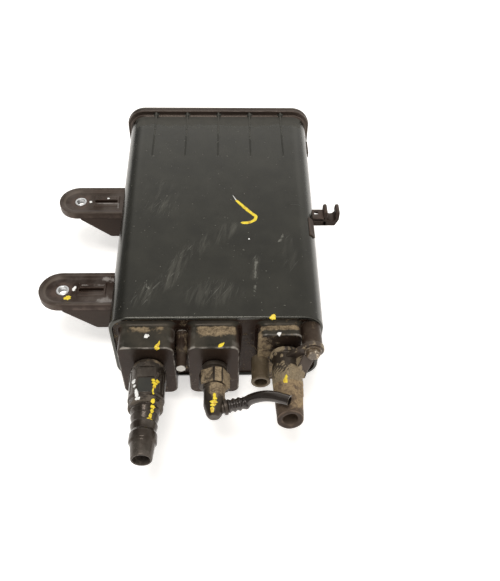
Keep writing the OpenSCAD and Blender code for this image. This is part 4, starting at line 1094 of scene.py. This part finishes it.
class CANISTER_OT_vent(bpy.types.Operator):
    """Make the vent connector with its lug, its retainer, the cut rubber hose and the bolt"""
    bl_idname = "canister.vent"
    bl_label = "Vent connector"

    def execute(self, context):
        case, _, ports = looks()
        ax = vent_axes(case, ports)
        skin = np.stack([np.full(36, 10.4), np.linspace(5.8, 28.2, 36)], 1)
        body = np.concatenate([[[7.6, 2], [11.1, 2], [11.5, 2.4], [11.5, 4.9], [11.2, 5.2], [10.5, 5.4]], skin,
                               [[10.1, 28.5], [4.5, 28.5], [4.5, 31.5], [5.1, 32], [5.1, 32.6], [4.5, 36.5], [4.5, 37],
                                [5.1, 37.5], [5.1, 38.1], [4.5, 42], [4.1, 43.5], [3.2, 43.5], [3.2, 8], [7.6, 8]]])
        g = lathe(body, ax, 96)
        local = g - ax[0]
        away = local - (local @ ax[3])[..., None] * ax[3]
        caked = self.cake(g.reshape(-1, 3), ax).reshape(g.shape[:2])
        lumps = 0.03 * ripple(g.reshape(-1, 3), 2.2, 11).reshape(g.shape[:2])
        thick = np.where(np.linalg.norm(away, axis=-1) > 9.9, 0.035 * (caked - 0.6) + lumps * caked, 0)
        shell = Shell().rings(g + away * thick[..., None], loop=True)
        shell.rings(block(lug_outline((0, 0), 7.9, (LUG, LUG), 7.8), LUG_TOP - 3, LUG_TOP, 0.5, ax, r0=0.3))
        fin = axes(ax[0] + (LUG_TOP - 3) * ax[3], np.array([1, 0, 1]) / math.sqrt(2), ax[3])
        web = finer(soften([[5.9, 0.5], [18.2, 0.5], [18.2, 3.4], [7.8, 14.5]], 0.8), 5)
        shell.rings(block(web, -1.5, 8.2, 0.8, fin, r0=0.6, mid=6))
        shell.make("vent_fitting", "vent_dirty", "caked_plastic", ["vent_connector"], lambda p: self.cake(p, ax),
                   rub=lambda p: 1.0 * self.on_arm(p, ax))
        collar = soften([[6.05, 0.8], [8.6, 0.8], [9.0, 1.3], [9.0, 2], [7.5, 2], [7.5, 9.9], [6.05, 9.9]], 0.2)
        Shell().rings(lathe(collar, ax, 48), loop=True).make(
            "vent_latch", "retainer_black", "dusty_plastic", ["vent_retainer"], 0.4)
        self.hose(ax)
        self.bolt(boss_axes(case, ports, mm(ports.vent_depth) + LUG_TOP))
        return {"FINISHED"}

    def on_arm(self, p, ax):
        """Points of the lug and its web, outside the round body."""
        return off(p, ax) > 12.2

    def cake(self, p, ax):
        """Dirt: heavy on the body, flaked near its foot and streaked down its left, thin on the lug and its web."""
        d = p - ax[0]
        x, y, far = d @ ax[1], d @ ax[2], d @ ax[3]
        bare = step(ripple(p, 1.5, 5) - 0.035 * (x - y), -0.2, 0.1) * step(far, 3.5, 6) * step(-far, -22, -13)
        arc = 10.4 * np.arctan2(x, y)
        streaks = step(np.sin(2.2 * (far + 0.9 * arc) + 1.3 * np.sin(0.7 * (far - 0.9 * arc))), 0.0, 0.6)
        streaks *= step(-arc, -2, 2) * step(far, 8, 11) * step(-far, -26, -18)
        body = 0.92 - 0.16 * step(far, 14, 21) - 0.7 * np.maximum(bare, streaks)
        lobe = 0.18 + 0.26 * step(-np.abs(np.hypot(x - LUG, y - LUG) - 7.4), -0.9, -0.2)
        arm = np.where(far > LUG_TOP + 0.1, 0.06, lobe)
        return np.where(self.on_arm(p, ax), arm, np.where((x + y > 9) & (far < 14), 0.5 * body, body))

    def hose(self, ax):
        """A tapering tube with its end cut aslant: height h - up tan(10) (h / 25)^4, its skin uneven."""
        h = np.linspace(0.0, 25.5, 40)
        outer = np.stack([10.5 - 0.5 * step(h, 7.2, 8.0) - 1.2 * h / 25.5, 28.5 + h], 1)
        rim = [[8.5, 54.25], [7.6, 54.4], [6.6, 54.35], [5.8, 54.1]]
        inner = np.stack([np.full(14, 5.3), np.linspace(53.6, 29.5, 14)], 1)
        g = lathe(np.concatenate([[[5.3, 28.5]], outer, rim, inner]), ax, 72)
        local = g - ax[0]
        far, up = local @ ax[3] - 28.5, local @ ax[2]
        worn = 0.35 * ripple(g.reshape(-1, 3), 3.0, 21).reshape(g.shape[:2]) * step(far, 20, 25)
        slant = up * math.tan(math.radians(10)) * (np.clip(far, 0, 26) / 25) ** 4
        g = g - (slant + worn + 0.5 * (far > 20))[..., None] * ax[3]
        away = local - (local @ ax[3])[..., None] * ax[3]
        g = g + away * (0.014 * ripple(g.reshape(-1, 3), 4.0, 3).reshape(g.shape[:2])
                        - 0.02 * step(far, -1, 1) * step(-far, -3, -1))[..., None]

        def soil(p):
            """Tan dirt, heavy as far as the step, then more on the right side than the left, none inside the bore."""
            d = p - ax[0]
            far, bore = d @ ax[3], np.hypot(d @ ax[1], d @ ax[2]) < 6.2
            lower = 0.5 + 0.4 * step(d @ ax[1], -3, 6) * step(-far, -50, -44) - 0.3 * step(far, 47, 53.5)
            return np.where(bore, 0.05, np.where(far < 36.3, 0.76, lower) + 0.15 * ripple(p, 4.0, 8))

        Shell().rings(g, loop=True).make("vent_stub", "hose_rubber", "stub_rubber", ["vent_hose"], soil,
                                         rub=lambda p: step((p - ax[0]) @ ax[3], 50.5, 53.0))

    def bolt(self, ax):
        """A hexagon head on its washer face."""
        a = np.arange(6) * np.pi / 3 + math.radians(12)
        head = soften(5.0 * np.stack([np.cos(a), np.sin(a)], 1), 0.5)
        shell = Shell().rings(block(circle(6.0, 48), 0, 1.0, 0.35, ax))
        shell.rings(block(head, 0.5, 4.5, 0.7, ax, hold=0.6))
        shell.make("lug_bolt", "bolt_steel", "dirty_bolt", ["vent_bolt"])


def lug_outline(c1, r1, c2, r2):
    """Two circles in one outline: arcs that meet on their common tangents."""
    c1, c2 = np.array(c1, float), np.array(c2, float)
    v = c2 - c1
    turn, lean = math.atan2(v[1], v[0]), math.acos((r1 - r2) / np.linalg.norm(v))
    a = np.linspace(turn - lean, turn + lean, 25)
    b = np.linspace(turn + lean, turn - lean + 2 * np.pi, 25)
    return np.concatenate([c + r * np.stack([np.cos(t), np.sin(t)], 1) for c, r, t in ((c2, r2, a), (c1, r1, b))])


# Paint marks: place on the surface, its normal, half length along the case and half width, in millimetres
YELLOW_DABS = [
    ((39.1, -116.2, 71.9), (0, -0.4, 0.9), 2.0, 2.1), ((-41.2, -155.9, 55.6), (0.5, 0.08, 0.86), 1.2, 1.3),
    ((-38.6, -156.2, 54.4), (0.62, 0.08, 0.78), 1.3, 1.5), ((-40.1, -158.2, 55.5), (0.53, 0.08, 0.84), 1.0, 1.9),
    ((-40.2, -160.6, 55.7), (0.53, 0.08, 0.84), 1.6, 1.2), ((-40.5, -164.2, 55.8), (0.5, 0.08, 0.86), 2.4, 1.1),
    ((-40.4, -172.1, 56.0), (0.37, -0.5, 0.75), 1.5, 1.5), ((-40.5, -175.2, 54.0), (0.55, -0.44, 0.71), 1.2, 1.7),
    ((-40.7, -178.4, 54.3), (0.58, 0.08, 0.81), 1.6, 1.2), ((-41.4, -182.0, 54.6), (0.5, 0.0, 0.86), 1.8, 1.0),
    ((-42.0, -184.6, 54.2), (0.5, 0.08, 0.86), 1.5, 2.2), ((-0.9, -164.6, 50.2), (0.05, 0, 1), 2.0, 1.0),
    ((-0.6, -166.9, 50.2), (0.05, 0, 1), 1.2, 1.5), ((-1.3, -169.5, 50.2), (0.02, -0.1, 1), 1.2, 2.6),
    ((-1.8, -171.6, 49.8), (-0.09, -0.26, 0.96), 0.9, 1.9), ((-2.3, -174.6, 49.1), (-0.17, -0.25, 0.95), 2.0, 1.3),
    ((46.5, -155.4, 52.95), (-0.25, -0.06, 0.97), 2.3, 1.5), ((47.3, -152.6, 53.3), (-0.2, -0.06, 0.98), 1.7, 0.8),
    ((-110.8, -79.6, 49.5), (0, 0, 1), 1.8, 2.5), ((-110.2, -78.6, 49.5), (0, 0, 1), 1.5, 1.9),
]
WHITE_DABS = [
    ((-47.2, -126.3, 64.7), (0, 0, 1), 1.7, 1.8), ((-54.5, -155.9, 54.0), (-0.69, 0.05, 0.72), 1.8, 1.7),
    ((-53.5, -160.0, 55.1), (-0.56, 0.06, 0.82), 1.2, 1.0), ((-52.0, -164.6, 56.1), (-0.2, 0.09, 0.97), 2.0, 0.9),
    ((-51.2, -167.3, 56.5), (-0.25, 0.08, 0.96), 2.2, 1.3), ((-50.4, -170.6, 57.0), (-0.37, 0.07, 0.93), 1.3, 1.8),
    ((-107.2, -71.0, 49.5), (0, 0, 1), 1.9, 1.2), ((-106.4, -69.4, 49.5), (0, 0, 1), 1.5, 1.0),
    ((-107.1, 25.9, 49.5), (0, 0, 1), 1.3, 1.2), ((-92.5, 29.2, 50.4), (0, 0, 1), 0.8, 1.2),
    ((24.3, -40.9, 72.0), (0, 0, 1), 0.7, 0.7),
]
# Drops of paint on the housings' tops, some run over the edge: what is up, then x, y, z and half width along each
FLAT, OVER = (0, 0, 1), (0, -0.6, 0.8)
YELLOW_DROPS = [
    (OVER, [[-38.1, -130.2, 64.72, 0.2], [-38.5, -132.6, 64.72, 0.8], [-39.1, -134.6, 64.72, 1.5],
            [-39.4, -135.5, 64.72, 1.75], [-39.5, -136.2, 64.43, 1.75], [-39.6, -136.5, 63.7, 1.5],
            [-39.6, -136.52, 63.0, 0.8], [-39.6, -136.52, 62.6, 0.15]]),
    (FLAT, [[5.7, -132.3, 64.72, 0.15], [4.8, -133.2, 64.72, 0.9], [3.7, -134.2, 64.72, 1.3],
            [2.6, -135.1, 64.72, 1.2], [1.6, -135.9, 64.62, 0.2]]),
]
WHITE_DROPS = [
    (OVER, [[43.0, -124.0, 64.72, 0.6], [43.1, -124.5, 64.72, 1.7], [43.2, -125.1, 64.7, 1.5],
            [43.3, -125.7, 64.43, 1.0], [43.4, -126.0, 63.7, 0.5], [43.4, -126.02, 63.1, 0.12]]),
]
# The hook on the case's top with its thin pale tail, in plan, and the faint flow line
HOOK = [[14.9, 2.8], [18.8, -2.3], [23.4, -8.2], [27.3, -12.8], [30.0, -15.9], [29.4, -19.4], [26.9, -21.8],
        [23.0, -23.2], [18.4, -23.2]]
TAIL = [[12.3, 8.6], [13.6, 5.6], [15.2, 2.6]]
FLOW_LINE = [[55.4, -3.0, 72.0], [59.4, -2.5, 72.0], [63.4, -3.0, 71.97], [68.1, -4.3, 71.05], [72.6, -4.0, 68.3]]


def dab(spot, normal, reach, wide, thick, seed):
    """A flat drop: a dome over an oval whose radius wavers by a few sines round it."""
    n = np.array(normal, float) / np.linalg.norm(normal)
    y = np.array([0.0, 1.0, 0.0]) - n[1] * n
    y /= np.linalg.norm(y)
    x = np.cross(y, n)
    k = np.random.default_rng(seed).uniform(-1, 1, (5, 2))
    a = np.linspace(0, 2 * np.pi, 36, endpoint=False)
    waver = 1 + sum(0.11 * k[i, 0] * np.sin((i + 2) * a + 3 * k[i, 1]) for i in range(5))
    t = np.array([1.0, 0.97, 0.85, 0.6, 0.3])[:, None, None]
    flat = np.stack([wide * waver * np.cos(a), reach * waver * np.sin(a)], -1)[None] * t
    high = thick * np.array([-2.0, 0.4, 0.8, 1.0, 1.05])[:, None]
    return np.asarray(spot, float) + flat[..., :1] * x + flat[..., 1:] * y + high[..., None] * n


class CANISTER_OT_paint(bpy.types.Operator):
    """Make the yellow hook, the yellow and white paint dabs and the flow line in the case top"""
    bl_idname = "canister.paint"
    bl_label = "Paint marks"

    def execute(self, context):
        case, _, _ = looks()
        thick, top = mm(context.scene.canister_paint.thick), mm(case.height)
        for name, dabs, drops, stroke, seed in (("yellow", YELLOW_DABS, YELLOW_DROPS, HOOK, 4),
                                                ("white", WHITE_DABS, WHITE_DROPS, TAIL, 42)):
            shell = Shell()
            for i, (spot, normal, reach, wide) in enumerate(dabs):
                shell.rings(dab(spot, normal, reach, wide, thick, seed + i))
            for up, drop in drops:
                run = along(drop, 6)
                shell.rings(sweep(run[:, :3], run[:, 3], thick, 16, up)[:, ::-1])
            path = along(np.c_[stroke, np.full(len(stroke), top + 0.02)], 10)
            t = np.linspace(0, 1, len(path))
            if name == "yellow":
                wide = 1.35 * step(t, -0.3, 0.2) * (0.3 + 0.7 * step(-t, -1.0, -0.96)) + 0.09 * np.sin(31 * t)
            else:
                wide = 0.15 + 0.3 * t
            shell.rings(sweep(path, wide, 0.8 * thick, 16)[:, ::-1])
            shell.make(name + "_marks", "case_black", name + "_paint")
        line = along(np.array(FLOW_LINE), 8)
        thin = 0.16 * np.sin(np.linspace(0.1, np.pi - 0.1, len(line)))
        Shell().rings(sweep(line, thin, thin, 8)[:, ::-1]).make(
            "flow_line", "case_black", "dark_plastic", ["case"])
        return {"FINISHED"}


class CANISTER_OT_stage(bpy.types.Operator):
    """Set up the pale floor, the soft light and the camera"""
    bl_idname = "canister.stage"
    bl_label = "Stage"

    def execute(self, context):
        look = context.scene.canister_stage
        mesh = bpy.data.meshes.new("floor")
        corners = np.array([[-4, -4], [4, -4], [4, 4], [-4, 4]], float)
        mesh.from_pydata(np.c_[corners, np.full(4, -FLOOR_GAP)].tolist(), [], [[0, 1, 2, 3]])
        mesh.materials.append(self.floor_finish(look))
        floor = bpy.data.objects.new("floor", mesh)
        context.scene.collection.objects.link(floor)
        self.light(context, look)
        self.camera(context, look)
        context.scene.view_settings.view_transform = "Standard"
        return {"FINISHED"}

    def floor_finish(self, look):
        """Pale paper, faintly uneven; a share of plain white lifts it as in an overexposed picture."""
        mat, net, shader = new_material("floor_white")
        where = net.where()
        pale = tuple(look.floor)
        tint = net.mix(net.span(net.noise(where, 3.0, 2.0), 0.3, 0.7), shade(pale, 0.985), pale)
        net.feed(shader["Base Color"], tint)
        shader["Roughness"].default_value = 0.9
        shader["Specular IOR Level"].default_value = 0.1
        net.feed(shader["Emission Color"], tint)
        shader["Emission Strength"].default_value = look.lift
        return mat

    def light(self, context, look):
        """A pale room: bright low down, dimmer overhead and at the sides, and one soft light above the front."""
        world = bpy.data.worlds.new("pale_room")
        context.scene.world = world
        world.use_nodes = True
        world.node_tree.nodes.clear()
        net = Net(world.node_tree)
        way = net.put("SeparateXYZ", {0: net.put("TexCoord").outputs["Generated"]}).outputs
        level = net.span(way["Z"], 0.535, 0.665, look.low, look.high)
        level = net.times(level, net.span(way["X"], -0.6, -0.2, look.left, 1.0))
        level = net.times(level, net.span(way["X"], 0.25, 0.65, 1.0, look.right))
        room = net.put("Background", {"Color": (1.0, 0.985, 0.955), "Strength": level})
        plain = net.put("Background", {"Color": (1.0, 1.0, 1.0), "Strength": 1.0})
        seen = net.put("LightPath").outputs["Is Camera Ray"]
        both = net.put("MixShader", {0: seen, 1: room.outputs[0], 2: plain.outputs[0]})
        net.feed(net.put("OutputWorld").inputs["Surface"], both.outputs[0])
        lamp = bpy.data.lights.new("overhead", "AREA")
        lamp.shape, lamp.size, lamp.size_y, lamp.energy = "RECTANGLE", 0.5, 0.5, look.key
        lamp.color = (1.0, 0.98, 0.95)
        over = bpy.data.objects.new("overhead", lamp)
        aim = Vector((0.1, 0.22, -1.2)).to_track_quat("-Z", "Y").to_matrix().to_4x4()
        over.matrix_world = Matrix.Translation((-0.12, -0.28, 1.25)) @ aim
        context.scene.collection.objects.link(over)

    def camera(self, context, look):
        """The camera's axes from its pitch, yaw and roll."""
        p, w, r = look.pitch, look.yaw, look.roll
        ahead = Vector((math.sin(w) * math.cos(p), math.cos(w) * math.cos(p), -math.sin(p)))
        level = Vector((math.cos(w), -math.sin(w), 0))
        above = level.cross(ahead)
        right = level * math.cos(r) + above * math.sin(r)
        up = above * math.cos(r) - level * math.sin(r)
        data = bpy.data.cameras.new("camera")
        data.sensor_width = SENSOR
        data.lens = look.focal * SENSOR / FRAME_HIGH
        data.clip_start, data.clip_end = 0.01, 50.0
        eye = bpy.data.objects.new("camera", data)
        eye.matrix_world = Matrix.Translation(look.eye) @ Matrix((right, up, -ahead)).transposed().to_4x4()
        context.scene.collection.objects.link(eye)
        context.scene.camera = eye


PROPERTIES = {"canister_case": CaseLook, "canister_ears": EarLook, "canister_ports": PortLook,
              "canister_paint": PaintLook, "canister_stage": StageLook}
OPERATORS = (CANISTER_OT_stage, CANISTER_OT_finishes, CANISTER_OT_inside, CANISTER_OT_case, CANISTER_OT_cover,
             CANISTER_OT_ears, CANISTER_OT_clip, CANISTER_OT_ports, CANISTER_OT_tank, CANISTER_OT_purge,
             CANISTER_OT_vent, CANISTER_OT_paint)


class CANISTER_PT_panel(bpy.types.Panel):
    """Sizes, colours and steps of the canister"""
    bl_idname = "CANISTER_PT_panel"
    bl_label = "Charcoal canister"
    bl_space_type = "VIEW_3D"
    bl_region_type = "UI"
    bl_category = "Canister"

    def draw(self, context):
        for operator in OPERATORS:
            self.layout.operator(operator.bl_idname)
        for key, kind in PROPERTIES.items():
            box = self.layout.box()
            for name in kind.__annotations__:
                box.prop(getattr(context.scene, key), name)


def register():
    for kind in (*PROPERTIES.values(), *OPERATORS, CANISTER_PT_panel):
        bpy.utils.register_class(kind)
    for key, kind in PROPERTIES.items():
        setattr(bpy.types.Scene, key, PointerProperty(type=kind))


def unregister():
    for key in PROPERTIES:
        delattr(bpy.types.Scene, key)
    for kind in (CANISTER_PT_panel, *reversed(OPERATORS), *PROPERTIES.values()):
        bpy.utils.unregister_class(kind)


def main():
    register()
    for name in ("stage", "finishes", "inside", "case", "cover", "ears", "clip", "ports", "tank", "purge", "vent",
                 "paint"):
        getattr(bpy.ops.canister, name)()


if __name__ == "__main__":
    main()
